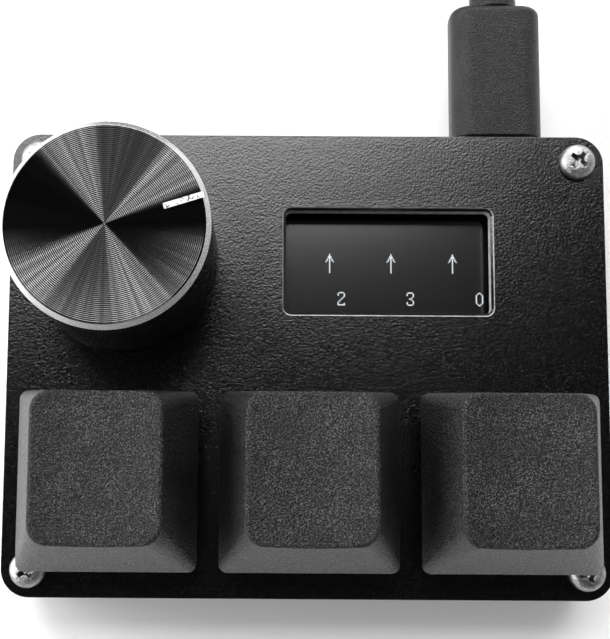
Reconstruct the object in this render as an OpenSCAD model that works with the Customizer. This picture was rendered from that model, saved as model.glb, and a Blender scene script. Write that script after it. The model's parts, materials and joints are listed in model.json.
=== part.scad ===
// Macro keypad with three keys, one push dial and a small display, and its cable wound up behind it.
// X runs to the right, Y to the back and Z up from the table. The origin is under the case's middle.

/* [Case] */
// Width of the case, left to right
case_w = 64.2; // [63.4:0.1:70]
// Depth of the case, front to back
case_d = 49.8; // [49.4:0.1:56]
// Radius of the case's upright corners
corner_r = 3; // [2:0.1:4]
// Thickness of the top plate, which the key switches clip into
plate_t = 1.5; // [1.3:0.1:1.7]
// Height of the frame between the two plates
frame_h = 8; // [7.8:0.1:12]
// Thickness of the frame's wall
wall_t = 1.6; // [1.2:0.1:2]
// Thickness of the bottom plate
bottom_t = 1.5; // [1.3:0.1:3]
// Distance of the corner screws from the case's edges
screw_inset = 2.9; // [2.7:0.05:3.2]
// Diameter of the rubber feet
foot_d = 8; // [6:0.5:10]
// Height of the rubber feet
foot_h = 1.5; // [1:0.1:3]
// Distance of a foot's middle from the case's edges
foot_inset = 8; // [7.5:0.5:10]

/* [Screws] */
// Diameter of the screws' thread
screw_d = 2; // [1.8:0.1:2.2]
// Diameter of the round heads on top
head_d = 3.8; // [3.6:0.1:4]
// Height of the round heads on top
head_h = 1.35; // [1.2:0.05:1.5]
// Length of the screws below the head
screw_l = 5; // [4:0.5:5.5]

/* [Board] */
// Depth of the board's upper face below the top plate's upper face
seat_depth = 5; // [5:0.05:5.2]
// Thickness of the board
board_t = 1.6; // [1.2:0.1:1.6]
// Gap between the board and the frame
board_gap = 0.3; // [0.2:0.05:0.5]

/* [Keys] */
// Distance from key to key
key_pitch = 20.3; // [19.05:0.05:20.6]
// Distance of the key row's middle from the case's front edge
key_row_inset = 12.1; // [11.9:0.1:12.6]
// How far a key travels
key_travel = 4; // [3:0.1:4]
// Width and depth of a keycap at its skirt
cap_base = 18.1; // [18:0.05:18.4]
// Width of a keycap's top
cap_top_w = 12.5; // [12:0.1:13.5]
// Depth of a keycap's top
cap_top_d = 14.3; // [14:0.1:15]
// How far a keycap's top sits behind its skirt's middle
cap_shift = 1.16; // [0.6:0.02:1.3]
// Height of a keycap
cap_h = 9.05; // [8.9:0.05:10]
// Height of a keycap's skirt above the top plate
cap_lift = 5.95; // [5.8:0.05:6.1]
// Thickness of a keycap's walls
cap_wall = 1.2; // [1:0.1:1.4]
// Thickness of a keycap's roof
cap_roof = 1.6; // [1.5:0.1:1.8]
// Depth of the dish in a keycap's top
cap_dish = 0.75; // [0.3:0.05:0.9]

/* [Dial] */
// Place of the dial to the right of the case's middle
dial_x = -19.7; // [-20.5:0.1:-19]
// Distance of the dial's middle behind the key row's
dial_row = 23.9; // [23.3:0.1:24.4]
// Diameter of the knob
knob_d = 20.1; // [19:0.1:21]
// Height of the knob
knob_h = 15.5; // [15:0.1:18]
// Gap under the knob
knob_gap = 0.9; // [0.8:0.05:1.5]
// Width of the bright chamfer round the knob's top
knob_chamfer = 0.46; // [0.3:0.02:0.6]
// Diameter of the encoder's shaft
shaft_d = 6; // [5.8:0.1:6.2]
// How far the knob goes down when it is pushed
push_travel = 0.5; // [0.3:0.05:0.5]

/* [Display] */
// Middle of the display window to the right of the case's middle
window_x = 8.7; // [8.5:0.1:9]
// Distance of the display window's middle from the case's back edge
window_inset = 13.9; // [13.7:0.1:14.1]
// Width of the display window
window_w = 22.1; // [21.5:0.1:22.5]
// Height of the display window
window_h = 11.2; // [10.8:0.1:11.4]
// Depth of the display's glass below the top plate's upper face
glass_depth = 3.2; // [3:0.05:3.3]
// Width of the display panel
panel_w = 27.9; // [27.4:0.1:28.2]
// Height of the display panel
panel_h = 13; // [12.8:0.1:13.1]

/* [Cable] */
// Distance of the cable's port from the case's right edge
port_inset = 11.1; // [11:0.1:11.4]
// Diameter of the cable
cable_d = 4; // [3.6:0.1:4]
// Mean radius of the coil's turns
coil_mean_r = 21; // [20:0.5:23]
// Number of turns in the coil, in two layers
coil_turns = 7; // [5:2:9]
// Width of the molded plug at the keypad
mold_w = 9.95; // [9.6:0.05:10.4]
// Thickness of the molded plug at the keypad
mold_h = 6; // [5.6:0.1:6.2]
// Length of the molded plug at the keypad
mold_l = 15; // [12:0.5:15]

/* [Hidden] */
$fn = 48;
cut = 0.1; // how far a cut runs past the face it opens
skin = 0.05; // thickness of the slices that a leaning block is drawn between

// levels of the case
frame_z = foot_h + bottom_t;
plate_z = frame_z + frame_h;
top_z = plate_z + plate_t;
board_top = top_z - seat_depth;
board_z = board_top - board_t;
screw_x = case_w / 2 - screw_inset;
screw_y = case_d / 2 - screw_inset;
key_row_y = key_row_inset - case_d / 2;
dial_y = key_row_y + dial_row;
window_y = case_d / 2 - window_inset;
port_x = case_w / 2 - port_inset;
inner_w = case_w - 2 * wall_t;
inner_d = case_d - 2 * wall_t;
thread_gap = 0.02;
through_gap = 0.1;
boss_wall = 1.2;
boss_r = screw_d / 2 + boss_wall;
ledge_w = 2;
notch = 2 * (screw_inset + boss_r - wall_t + board_gap);
ledge_l = 10;
window_chamfer = 0.3;
window_r = 0.6;
flat_head_r = 1.9;
flat_head_h = 1.1;
flat_screw_l = screw_l - 1;
head_gap = 0.05;
recess_l = 2.1;
recess_w = 0.42;
pilot_extra = 0.3;
chip_w = 7;
chip_h = 1.2;
lead_stand = 0.1;
lead_pitch = 0.5;
lead_w = 0.22;
lead_t = 0.15;
lead_h = 0.7;
lead_bend = 0.5;
lead_reach = 1;
part_pitch = 2;
part_rows = [-2.4, 2.4];
capacitor = [1, 1.8, 0.8];
resistor = [0.9, 1.6, 0.6];
crystal = [2.9, 1.6, 1.1];
regulator = [3.2, 2.5, 0.8];
diode = [2.5, 1.3, 1];
chip_shift = [-8, -3];
crystal_gap = 3.1;
regulator_gap = 3.4;
diode_gap = 4.2;

// levels and sizes of a key switch
hole_w = 14;
switch_gap = 0.05;
switch_w = hole_w - 2 * switch_gap;
flange_w = hole_w + 1.6;
flange_t = 1;
flange_top = top_z + flange_t;
switch_h = 6.6;
cover_top = top_z + switch_h;
cover_wall = 1.4;
cover_roof = cover_top - cover_wall;
cavity_w = 11.6;
floor_z = board_top + 1;
skirt_bottom = floor_z + key_travel + 1.1;
skirt_gap = 0.1;
spring_r = 2.1;
spring_wire = 0.3;
spring_curls = 8;
spring_rings = 8;
spring_end_gap = 0.02;
spring_top = cover_roof - 0.7;
stem_bore_r = spring_r + spring_wire / 2 + 0.2;
guide_r = 1.6;
guide_bore_r = 1.15;
pole_gap = 0.08;
pole_bottom = floor_z + 0.5;
post_r = 1.95;
post_drop = 3.2;
neck_w = 6.9;
neck_d = 5.5;
neck_gap = 0.2;
cross_l = 4;
cross_t = [1.25, 1.05];
cross_h = 3.6;
cross_gap = 0.03;
skirt_w = 9.4;
skirt_d = 7;
leg_d = 0.7;
leaf_t = 0.2;
leaf_y = 4.55;
back_leaf_y = 5.35;
guide_h = 2.5;
cover_top_w = 10.6;
cover_top_d = 10.9;
cap_post_r = 2.75;
dish_r = cap_top_w * cap_top_w / (8 * cap_dish) + cap_dish / 2;
cap_z = top_z + cap_lift;
cap_base_r = 0.9;
cap_top_r = 1.9;
pin_a = [2.54, 5.08];
pin_b = [-3.81, 2.54];
pin_w = 1.2;
pin_t = 0.3;
pin_drop = 3.1;
socket_t = 1.85;
socket_left = [[-6.6, 0.5], [-2.3, 4.6]];
socket_right = [[-2.4, 3], [5, 7.1]];
barrel_r = 1.45;
barrel_gap = 0.05;

// levels and sizes of the encoder and the knob
encoder_w = 12.4;
encoder_d = 12;
encoder_gap = 0.25;
clip_t = 0.35;
clip_w = 8;
clip_tab_w = 2;
dome_r = 2.3;
dome_h = 0.55;
encoder_pin_w = 0.8;
encoder_pin_t = 0.25;
encoder_pin_places = [[-2.5, -7.5], [0, -7.5], [2.5, -7.5], [-2.5, 7], [2.5, 7]];
bush_plate_t = 2;
clip_top = top_z + 0.15;
bush_plate_top = clip_top - clip_t;
bush_plate_z = bush_plate_top - bush_plate_t;
bush_r = 3.5;
bush_h = 5;
bush_top = bush_plate_top + bush_h;
shaft_gap = 0.06;
shaft_r = shaft_d / 2;
well_z = board_top + 0.4;
wheel_z = board_top + 1.6;
wheel_t = 0.6;
wheel_r = 4.9;
wheel_gap = 0.08;
detents = 20;
tip_r = 1.9;
tip_flat = 1.5;
tip_z = wheel_z + 0.1;
shoulder_z = bush_plate_z + 0.2;
knob_r = knob_d / 2;
knob_z = top_z + knob_gap;
knob_top = knob_z + knob_h;
knob_roof = 2;
knob_edge = 0.3;
knob_wall = 1.25;
core_gap = 0.05;
core_flange_t = 2.5;
core_hub_r = 5.4;
core_recess_r = bush_r + 0.6;
core_recess_top = bush_top + push_travel + 0.6;
core_top = knob_top - knob_roof;
shaft_top = core_top - 0.9;
flat_depth = 1.5;
flat_z = bush_top + 0.4;
index_angle = 17.4;
index_from_r = 5.75;
index_w = 0.6;
index_depth = 0.25;

// levels and places of the display
glass_z = top_z - glass_depth;
glass_t = 0.6;
backlight_t = 0.9;
backlight_z = glass_z - glass_t - backlight_t;
lit_w = 21.7;
lit_shift = [0.15, 0.6];
panel_margin = 4.4;
panel_x = window_x + lit_shift.x - lit_w / 2 - panel_margin + panel_w / 2;
panel_y = window_y + lit_shift.y;
flex_ledge = 1.5;
flex_w = 8;
flex_t = 0.15;
flex_reach = 5;

// the cable's port and the two plugs
port_w = 8.94;
port_h = 3.2;
port_wall = 0.25;
port_l = 6.4;
port_gap = 0.15;
port_tabs = [1.5, 3.4];
port_tab_l = 1;
port_z = board_top + port_h / 2;
port_back = case_d / 2 - port_l;
tongue_w = 6.69;
tongue_h = 0.7;
tongue_l = 4.45;
tongue_root = 0.4;
plug_w = 8.34;
plug_h = 2.56;
plug_wall = 0.3;
plug_gap = 0.1;
mold_y = case_d / 2 + 0.4;
plug_y = port_back + port_wall + tongue_root + 0.1;
mold_r = 2.4;
mold_taper = 1.5;
mold_end = mold_y + mold_l;
relief_l = 12;
relief_r = [2.6, 2.35];
relief_gap = 0.05;
host_y = 79.7; // behind the molded plug, as the cord's points are
host_relief_l = 10;
host_w = 14;
host_h = 8;
host_l = 20;
host_r = 2.5;
host_shell_w = 12;
host_shell_h = 4.5;
host_shell_l = 12;
host_wall = 0.3;
host_tongue_h = 1.8;

// the cable's route, in X and Y from the molded plug's end and in Z from the table: down to the table, round
// the coil, and on to the far plug
cable_r = cable_d / 2;
run_route = [[0, 0, 9.1], [0, 3.7, 9.1], [0, 7.7, 9.1], [0, 11.7, 9.1], [0, 14.7, 9], [0, 17.7, 8.6],
  [0, 20.7, 7.8], [0, 23.7, 6.7], [0, 26.7, 5.4], [0, 29.7, 4.2], [0, 32.7, 3.3], [0, 35.7, 2.75],
  [0, 37.7, 2.6], [0, 39.7, 2.6]];
tail_route = [[0, 47.7, 7.1], [0, 50.7, 7.1], [0, 53.7, 6.8], [0, 56.7, 6.2], [0, 59.7, 5.4], [0, 62.7, 4.7],
  [0, 65.7, 4.2], [0, 68.7, 4], [0, 71.7, 4], [0, 79.7, 4]];
tie_t = 0.5;
tie_w = 5;
tie_gap = 0.1;
tie_side_gap = 0.5;
coil_step = cable_d + 0.5;
coil_rings = 24;
coil_y = 43.7;
coil_out_r = coil_mean_r + coil_turns * coil_step / 4;
coil_x = -coil_out_r;
coil_z = tie_t + tie_gap + cable_r;

// ---------------------------------------------------------------- shared shapes

// a rectangle with round corners, about its middle
module plan(w, d, r) {
  square([w - 2 * r, d], center = true);
  square([w, d - 2 * r], center = true);
  for (x = [-1, 1], y = [-1, 1]) translate([x * (w / 2 - r), y * (d / 2 - r)]) circle(r);
}

// an upright block with round corners, from z up by h
module slab(w, d, h, r, z = 0) translate([0, 0, z]) linear_extrude(h) plan(w, d, r);

// a block from its lowest and highest corners
module block(low, high) translate(low) cube(high - low);

// what is drawn in X and Z, made l long towards the back from y
module towards_back(y, l) translate([0, y + l, 0]) rotate([90, 0, 0]) linear_extrude(l) children();

module at_corners(x, y) for (i = [-1, 1], j = [-1, 1]) translate([i * x, j * y, 0]) children();

module at_key(i) translate([(i - 2) * key_pitch, key_row_y, 0]) children();

module at_dial() translate([dial_x, dial_y, 0]) children();

// a ring of n points of radius r about p, square to direction t, with one spoke near direction up
function unit(v) = v / norm(v);
function ring(p, t, up, r, n) =
  let (a = unit(cross(t, up)), b = cross(a, t))
  [for (k = [0:n - 1]) p + r * (cos(360 * k / n) * a + sin(360 * k / n) * b)];
function heading(line, i) =
  let (last = len(line) - 1)
  unit(line[min(i + 1, last)] - line[max(i - 1, 0)]);

// a tube of radius r along a line, with n sides, as triangles
module tube(line, r, n, up) {
  last = len(line) - 1;
  points = [for (i = [0:last]) each ring(line[i], heading(line, i), up, r, n)];
  sides = [for (i = [0:last - 1], k = [0:n - 1])
    let (a = i * n + k, b = i * n + (k + 1) % n)
    each [[a, b, b + n], [a, b + n, a + n]]];
  near_end = [for (k = [1:n - 2]) [0, k + 1, k]];
  far_end = [for (k = [1:n - 2]) [last * n, last * n + k, last * n + k + 1]];
  polyhedron(points, concat(sides, near_end, far_end));
}

// ---------------------------------------------------------------- case

module top_plate() color([0.07, 0.07, 0.075]) difference() {
  slab(case_w, case_d, plate_t, corner_r, plate_z);
  for (i = [1:3]) at_key(i) slab(hole_w, hole_w, plate_t + 2 * cut, 0.3, plate_z - cut);
  translate([window_x, window_y, 0]) {
    slab(window_w, window_h, plate_t + 2 * cut, window_r, plate_z - cut);
    hull() {
      slab(window_w, window_h, 0.01, window_r, top_z - window_chamfer);
      slab(window_w + 2 * window_chamfer, window_h + 2 * window_chamfer, cut,
        window_r + window_chamfer, top_z);
    }
  }
  at_dial() slab(encoder_w + 2 * clip_t + 2 * encoder_gap, encoder_d + 2 * encoder_gap,
    plate_t + 2 * cut, 0.5, plate_z - cut);
  at_corners(screw_x, screw_y)
    translate([0, 0, plate_z - cut]) cylinder(r = screw_d / 2 + through_gap, h = plate_t + 2 * cut);
}

module case_frame() color([0.09, 0.09, 0.095]) difference() {
  union() {
    difference() {
      slab(case_w, case_d, frame_h, corner_r, frame_z);
      slab(inner_w, inner_d, frame_h + 2 * cut, corner_r - 1.5, frame_z - cut);
    }
    at_corners(screw_x, screw_y) translate([0, 0, frame_z]) cylinder(r = boss_r, h = frame_h);
    for (x = [-1, 1]) translate([x * (inner_w - ledge_w) / 2, 0, (frame_z + board_z) / 2])
      cube([ledge_w + cut, ledge_l, board_z - frame_z], center = true);
  }
  at_corners(screw_x, screw_y) {
    translate([0, 0, top_z - screw_l - pilot_extra]) cylinder(r = screw_d / 2 + thread_gap, h = frame_h);
    translate([0, 0, frame_z - cut])
      cylinder(r = screw_d / 2 + thread_gap, h = foot_h + flat_screw_l + pilot_extra - frame_z + cut);
  }
  block([port_x - port_w / 2 - port_gap, case_d / 2 - wall_t - cut, port_z - port_h / 2 - port_gap],
    [port_x + port_w / 2 + port_gap, case_d / 2 + cut, plate_z + cut]);
}

module bottom_plate() color([0.08, 0.08, 0.085]) difference() {
  slab(case_w, case_d, bottom_t, corner_r, foot_h);
  at_corners(screw_x, screw_y) {
    translate([0, 0, foot_h - cut]) cylinder(r = screw_d / 2 + through_gap, h = bottom_t + 2 * cut);
    translate([0, 0, foot_h])
      cylinder(r1 = flat_head_r + head_gap, r2 = screw_d / 2, h = flat_head_h + head_gap);
    translate([0, 0, foot_h - cut]) cylinder(r = flat_head_r + head_gap, h = cut);
  }
}

module cross_recess(z, depth) {
  for (a = [0, 90]) rotate([0, 0, a])
    translate([0, 0, z - depth / 2 + cut / 2]) cube([recess_l, recess_w, depth + cut], center = true);
  translate([0, 0, z - depth]) cylinder(r1 = recess_w / 2, r2 = recess_w, h = depth + cut);
}

module top_screws() color([0.72, 0.72, 0.74]) at_corners(screw_x, screw_y) difference() {
  union() {
    translate([0, 0, top_z]) rotate_extrude() polygon([[0, 0], [head_d / 2, 0], [head_d / 2, 0.4 * head_h],
      [0.94 * head_d / 2, 0.66 * head_h], [0.8 * head_d / 2, 0.84 * head_h],
      [0.55 * head_d / 2, 0.95 * head_h], [0, head_h]]);
    translate([0, 0, top_z - screw_l]) cylinder(r = screw_d / 2, h = screw_l + cut);
  }
  cross_recess(top_z + head_h, 0.65 * head_h);
}

module bottom_screws() color([0.2, 0.2, 0.21]) at_corners(screw_x, screw_y) difference() {
  union() {
    translate([0, 0, foot_h]) cylinder(r1 = flat_head_r, r2 = screw_d / 2, h = flat_head_h);
    translate([0, 0, foot_h + flat_head_h - cut])
      cylinder(r = screw_d / 2, h = flat_screw_l - flat_head_h + cut);
  }
  translate([0, 0, 2 * foot_h]) mirror([0, 0, 1]) cross_recess(foot_h, 0.7 * flat_head_h);
}

module rubber_feet() color([0.12, 0.12, 0.12]) at_corners(case_w / 2 - foot_inset, case_d / 2 - foot_inset) {
  cylinder(r1 = foot_d / 2 - 0.3, r2 = foot_d / 2, h = 0.3);
  translate([0, 0, 0.3]) cylinder(r = foot_d / 2, h = foot_h - 0.3);
}

// ---------------------------------------------------------------- board

module main_board() color([0.06, 0.2, 0.12]) difference() {
  slab(inner_w - 2 * board_gap, inner_d - 2 * board_gap, board_t, 0.5, board_z);
  at_corners(inner_w / 2, inner_d / 2)
    translate([0, 0, board_z + board_t / 2]) cube([notch, notch, board_t + 2 * cut], center = true);
  for (i = [1:3]) at_key(i) translate([0, 0, board_z - cut]) {
    cylinder(r = post_r + barrel_gap, h = board_t + 2 * cut);
    for (p = [pin_a, pin_b]) translate(p) cylinder(r = barrel_r + barrel_gap, h = board_t + 2 * cut);
  }
  at_dial() {
    for (p = encoder_pin_places)
      translate([p.x, p.y, board_z - cut]) cylinder(r = 0.55, h = board_t + 2 * cut);
    for (x = [-1, 1]) translate([x * (encoder_w + clip_t) / 2, 0, board_z + board_t / 2])
      cube([clip_t + 0.3, clip_tab_w + 0.3, board_t + 2 * cut], center = true);
  }
  for (x = [-1, 1], y = port_tabs) translate([port_x + x * (port_w - port_wall) / 2, port_back + y, board_z])
    cube([port_wall + 0.3, port_tab_l + 0.3, 2 * board_t + 2 * cut], center = true);
}

// a chip's bent lead, from its side down to the board and out along it
module lead() {
  block([-cut, -lead_w / 2, lead_h - lead_t], [lead_bend, lead_w / 2, lead_h]);
  block([lead_bend - lead_t, -lead_w / 2, 0], [lead_bend, lead_w / 2, lead_h]);
  block([lead_bend - lead_t, -lead_w / 2, 0], [lead_reach, lead_w / 2, lead_t]);
}

// what is drawn standing on the origin, hung below the board at the controller chip
module under_board() translate([window_x + chip_shift.x, window_y + chip_shift.y, board_z])
  mirror([0, 0, 1]) children();

module controller_chip() color([0.1, 0.1, 0.1]) under_board() {
  slab(chip_w, chip_w, chip_h, 0.2, lead_stand);
  for (a = [0:90:270], k = [-5:5]) rotate([0, 0, a]) translate([chip_w / 2, k * lead_pitch, 0]) lead();
}

module board_part(p, size) translate([p.x, p.y, size.z / 2]) cube(size, center = true);

module board_parts() color([0.62, 0.56, 0.45]) {
  small_parts();
  for (i = [1:3]) at_key(i) translate([0, 0, board_z]) mirror([0, 0, 1]) board_part([0, -diode_gap], diode);
}

module small_parts() under_board() {
  for (k = [0:3], y = part_rows) board_part([chip_w + part_pitch * k, y], resistor);
  for (k = [-2:2]) board_part([part_pitch * k, chip_w], capacitor);
  board_part([chip_w + crystal_gap, 0], crystal);
  board_part([-chip_w - regulator_gap, chip_w], regulator);
}

module oblong(w, h) {
  square([w - h, h], center = true);
  for (x = [-1, 1]) translate([x * (w - h) / 2, 0]) circle(h / 2);
}

module port_shell() color([0.7, 0.7, 0.72]) {
  translate([port_x, 0, port_z]) {
    difference() {
      towards_back(port_back, port_l) oblong(port_w, port_h);
      towards_back(port_back + port_wall, port_l) oblong(port_w - 2 * port_wall, port_h - 2 * port_wall);
    }
    for (x = [-1, 1], y = port_tabs)
      translate([x * (port_w - port_wall) / 2, port_back + y, (board_z + 0.3 - port_z) / 2])
        cube([port_wall, port_tab_l, port_z - board_z - 0.3], center = true);
  }
}

module port_tongue() color([0.15, 0.15, 0.16]) translate([port_x, 0, port_z]) {
  towards_back(port_back + port_wall, tongue_root)
    oblong(port_w - 2 * port_wall - 0.1, port_h - 2 * port_wall - 0.1);
  translate([-tongue_w / 2, port_back + port_wall + tongue_root - cut, -tongue_h / 2])
    cube([tongue_w, tongue_l + cut, tongue_h]);
}

// ---------------------------------------------------------------- display

module display_glass() color([0.03, 0.03, 0.04])
  translate([panel_x + flex_ledge / 2, panel_y, 0])
    slab(panel_w - flex_ledge, panel_h, glass_t, 0.2, glass_z - glass_t);

module display_backlight() color([0.92, 0.92, 0.9])
  translate([panel_x, panel_y, 0]) slab(panel_w, panel_h, backlight_t, 0.4, backlight_z);

module display_tape() color([0.85, 0.85, 0.8])
  translate([panel_x, panel_y, (board_top + backlight_z) / 2])
    cube([panel_w - 4, panel_h - 3, backlight_z - board_top], center = true);

module display_flex() color([0.7, 0.42, 0.12]) translate([panel_x - panel_w / 2, panel_y + flex_w / 2, 0])
  rotate([90, 0, 0]) linear_extrude(flex_w) polygon([
    [flex_ledge - 0.2, glass_z - glass_t], [flex_ledge - 0.2, glass_z - glass_t + flex_t],
    [-1, glass_z - glass_t + flex_t], [-flex_reach + 2, board_top + flex_t],
    [-flex_reach, board_top + flex_t], [-flex_reach, board_top],
    [-flex_reach + 2 - flex_t, board_top], [-1 - flex_t / 2, glass_z - glass_t]]);

// ---------------------------------------------------------------- keys

// a keycap's outside drawn in by inset, from height bottom to height top, where its sides lean on alike
function cap_size(base, crown, height, inset) = base + (crown - base) * height / cap_h - 2 * inset;
module cap_form(inset, bottom, top) hull() {
  slab(cap_base - 2 * inset, cap_base - 2 * inset, skin, cap_base_r - inset / 2, bottom);
  translate([0, cap_shift * top / cap_h, 0])
    slab(cap_size(cap_base, cap_top_w, top, inset), cap_size(cap_base, cap_top_d, top, inset), skin,
      cap_top_r - inset / 2, top - skin);
}

module keycap(i) color([0.13, 0.13, 0.135]) at_key(i) translate([0, 0, cap_z]) {
  difference() {
    cap_form(0, 0, cap_h, $fn = 32);
    cap_form(cap_wall, -cut, cap_h - cap_roof, $fn = 32);
    translate([0, -cap_base, cap_h - cap_dish + dish_r]) rotate([-90, 0, 0])
      cylinder(r = dish_r, h = 2 * cap_base, $fn = 180);
  }
  difference() {
    translate([0, 0, cover_top + skin - cap_z])
      cylinder(r = cap_post_r, h = cap_h - cap_roof + cap_z - cover_top);
    for (a = [0, 1]) rotate([0, 0, 90 * a]) translate([0, 0, cover_top - cap_z])
      cube([cross_l + 2 * cross_gap, cross_t[a] + 2 * cross_gap, 2 * (cross_h + 0.1)], center = true);
  }
}

module key_stem(i) color([0.62, 0.08, 0.08]) at_key(i) {
  for (a = [0, 1]) rotate([0, 0, 90 * a]) translate([0, 0, cover_top + (cross_h - cut) / 2])
    cube([cross_l, cross_t[a], cross_h + cut], center = true);
  difference() {
    union() {
      block([-neck_w / 2, -neck_d / 2, skirt_bottom], [neck_w / 2, neck_d / 2, cover_top]);
      block([-skirt_w / 2, -skirt_d / 2, skirt_bottom], [skirt_w / 2, skirt_d / 2, cover_roof - skirt_gap]);
      for (x = [-1, 1]) block([x * 2.3 - 0.5, skirt_d / 2 - cut, skirt_bottom],
        [x * 2.3 + 0.5, skirt_d / 2 + leg_d, skirt_bottom + 2.5]);
    }
    translate([0, 0, skirt_bottom - cut]) cylinder(r = stem_bore_r, h = spring_top - skirt_bottom + cut);
  }
  translate([0, 0, pole_bottom + key_travel])
    cylinder(r = guide_bore_r - pole_gap, h = spring_top - pole_bottom - key_travel + cut);
}

module switch_cover(i) color([0.1, 0.1, 0.1]) at_key(i) difference() {
  hull($fn = 32) {
    slab(switch_w, switch_w, skin, 0.6, flange_top);
    slab(cover_top_w, cover_top_d, skin, 1, cover_top - skin);
  }
  hull($fn = 32) {
    slab(cavity_w, cavity_w, skin, 0.4, flange_top - cut);
    slab(skirt_w + 2 * neck_gap, skirt_w + 2 * neck_gap, skin, 0.4, cover_roof - skin);
  }
  slab(neck_w + 2 * neck_gap, neck_d + 2 * neck_gap, switch_h, 0.2, flange_top);
}

module switch_base(i) color([0.1, 0.1, 0.1]) at_key(i) {
  difference() {
    union() {
      slab(switch_w, switch_w, top_z - board_top, 0.4, board_top);
      slab(flange_w, flange_w, flange_t, 0.6, top_z);
      for (y = [-1, 1]) translate([0, y * (hole_w / 2 - 0.4), plate_z - 0.7])
        cube([4, 1.2, 1.2], center = true);
      translate([0, 0, board_top - post_drop]) cylinder(r = post_r, h = post_drop + cut);
    }
    block([-cavity_w / 2, -cavity_w / 2, floor_z], [cavity_w / 2, cavity_w / 2, cover_top]);
    translate([0, 0, pole_bottom]) cylinder(r = guide_bore_r, h = frame_h);
    for (p = [pin_a, pin_b]) translate([p.x, p.y, floor_z])
      cube([pin_w + 0.2, pin_t + 0.2, 4], center = true);
  }
  difference() {
    translate([0, 0, floor_z - cut]) cylinder(r = guide_r, h = guide_h + cut);
    translate([0, 0, pole_bottom]) cylinder(r = guide_bore_r, h = frame_h);
  }
}

module key_spring(i) color([0.8, 0.7, 0.45]) at_key(i) {
  low = floor_z + spring_wire / 2 + spring_end_gap;
  rise = spring_top - floor_z - spring_wire - 2 * spring_end_gap;
  steps = spring_rings * spring_curls;
  turn = 360 / spring_rings;
  tube([for (k = [0:steps]) [spring_r * cos(turn * k), spring_r * sin(turn * k), low + rise * k / steps]],
    spring_wire / 2, 6, [0, 0, 1]);
}

// a pin through the switch's floor and the board, up to height top
module switch_pin(p, top) block([p.x - pin_w / 2, p.y - pin_t / 2, board_top - pin_drop],
  [p.x + pin_w / 2, p.y + pin_t / 2, top]);

module switch_contacts(i) color([0.75, 0.5, 0.25]) at_key(i) {
  // the leaf that the stem's legs push, with its foot and pin
  block([-2.6, leaf_y, floor_z + 0.6], [2.9, leaf_y + leaf_t, flange_top - 0.5]);
  block([2, leaf_y, floor_z + skin], [2.9, pin_a.y + pin_t / 2, floor_z + 0.75]);
  switch_pin(pin_a, floor_z + 0.5);
  // the fixed contact behind it, with its foot and pin
  block([-3.9, back_leaf_y, floor_z + skin], [1.4, back_leaf_y + leaf_t, flange_top - 0.6]);
  block([-4.4, pin_b.y - pin_t / 2, floor_z + skin], [-3.5, back_leaf_y + leaf_t, floor_z + 0.35]);
  switch_pin(pin_b, floor_z + 0.3);
}

module switch_sockets() color([0.12, 0.12, 0.13]) for (i = [1:3]) at_key(i) difference() {
  union() {
    for (half = [socket_left, socket_right]) block([half[0].x, half[0].y, board_z - socket_t],
      [half[1].x, half[1].y, board_z]);
    for (p = [pin_a, pin_b]) translate([p.x, p.y, board_z - cut]) cylinder(r = barrel_r, h = board_t);
  }
  for (p = [pin_a, pin_b]) translate([p.x, p.y, board_z - socket_t - cut])
    cylinder(r = pin_w / 2 + 0.15, h = board_t + socket_t + 2 * cut);
}

module keycap_1() keycap(1);
module keycap_2() keycap(2);
module keycap_3() keycap(3);
module key_stem_1() key_stem(1);
module key_stem_2() key_stem(2);
module key_stem_3() key_stem(3);
module switch_cover_1() switch_cover(1);
module switch_cover_2() switch_cover(2);
module switch_cover_3() switch_cover(3);
module switch_base_1() switch_base(1);
module switch_base_2() switch_base(2);
module switch_base_3() switch_base(3);
module key_spring_1() key_spring(1);
module key_spring_2() key_spring(2);
module key_spring_3() key_spring(3);
module switch_contacts_1() switch_contacts(1);
module switch_contacts_2() switch_contacts(2);
module switch_contacts_3() switch_contacts(3);

// ---------------------------------------------------------------- encoder and knob

module encoder_base() color([0.14, 0.13, 0.12]) at_dial() difference() {
  slab(encoder_w, encoder_d, bush_plate_z - board_top, 0.3, board_top);
  translate([0, 0, wheel_z - 0.15]) cylinder(r = wheel_r + wheel_gap, h = frame_h);
  translate([0, 0, well_z]) cylinder(r = dome_r + 0.2, h = frame_h);
}

module push_dome() color([0.8, 0.8, 0.78]) at_dial() translate([0, 0, well_z]) rotate_extrude()
  polygon([[0, dome_h], [dome_r * 0.5, dome_h * 0.8], [dome_r, 0], [dome_r, 0.1],
    [dome_r * 0.5, dome_h * 0.8 + 0.1], [0, dome_h + 0.1]]);

// the drive hole's or the shaft tip's outline, a circle with two flats
module two_flats(r, flat) intersection() {
  circle(r);
  square([3 * r, 2 * flat], center = true);
}

module encoder_rotor() color([0.85, 0.83, 0.78]) at_dial() difference() {
  union() {
    translate([0, 0, wheel_z]) cylinder(r = wheel_r, h = wheel_t);
    translate([0, 0, wheel_z]) cylinder(r = 2.7, h = shoulder_z - push_travel - 0.2 - wheel_z);
  }
  translate([0, 0, wheel_z - cut]) linear_extrude(frame_h) two_flats(tip_r + 0.05, tip_flat + 0.05);
  for (k = [1:detents]) rotate([0, 0, 360 * k / detents]) translate([0.8 * wheel_r, 0, wheel_z + wheel_t])
    cube([1.2, 0.35, 0.24], center = true);
}

module detent_spring() color([0.75, 0.75, 0.72]) at_dial() {
  difference() {
    translate([0, 0, wheel_z + wheel_t + 0.15]) cylinder(r = 4.6, h = 0.15);
    translate([0, 0, wheel_z + wheel_t]) cylinder(r = 3.3, h = 1);
  }
  for (x = [-1, 1]) block([x * 4.1 - 0.4, -1, wheel_z + wheel_t + 0.2], [x * 4.1 + 0.4, 1, bush_plate_z]);
}

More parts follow.
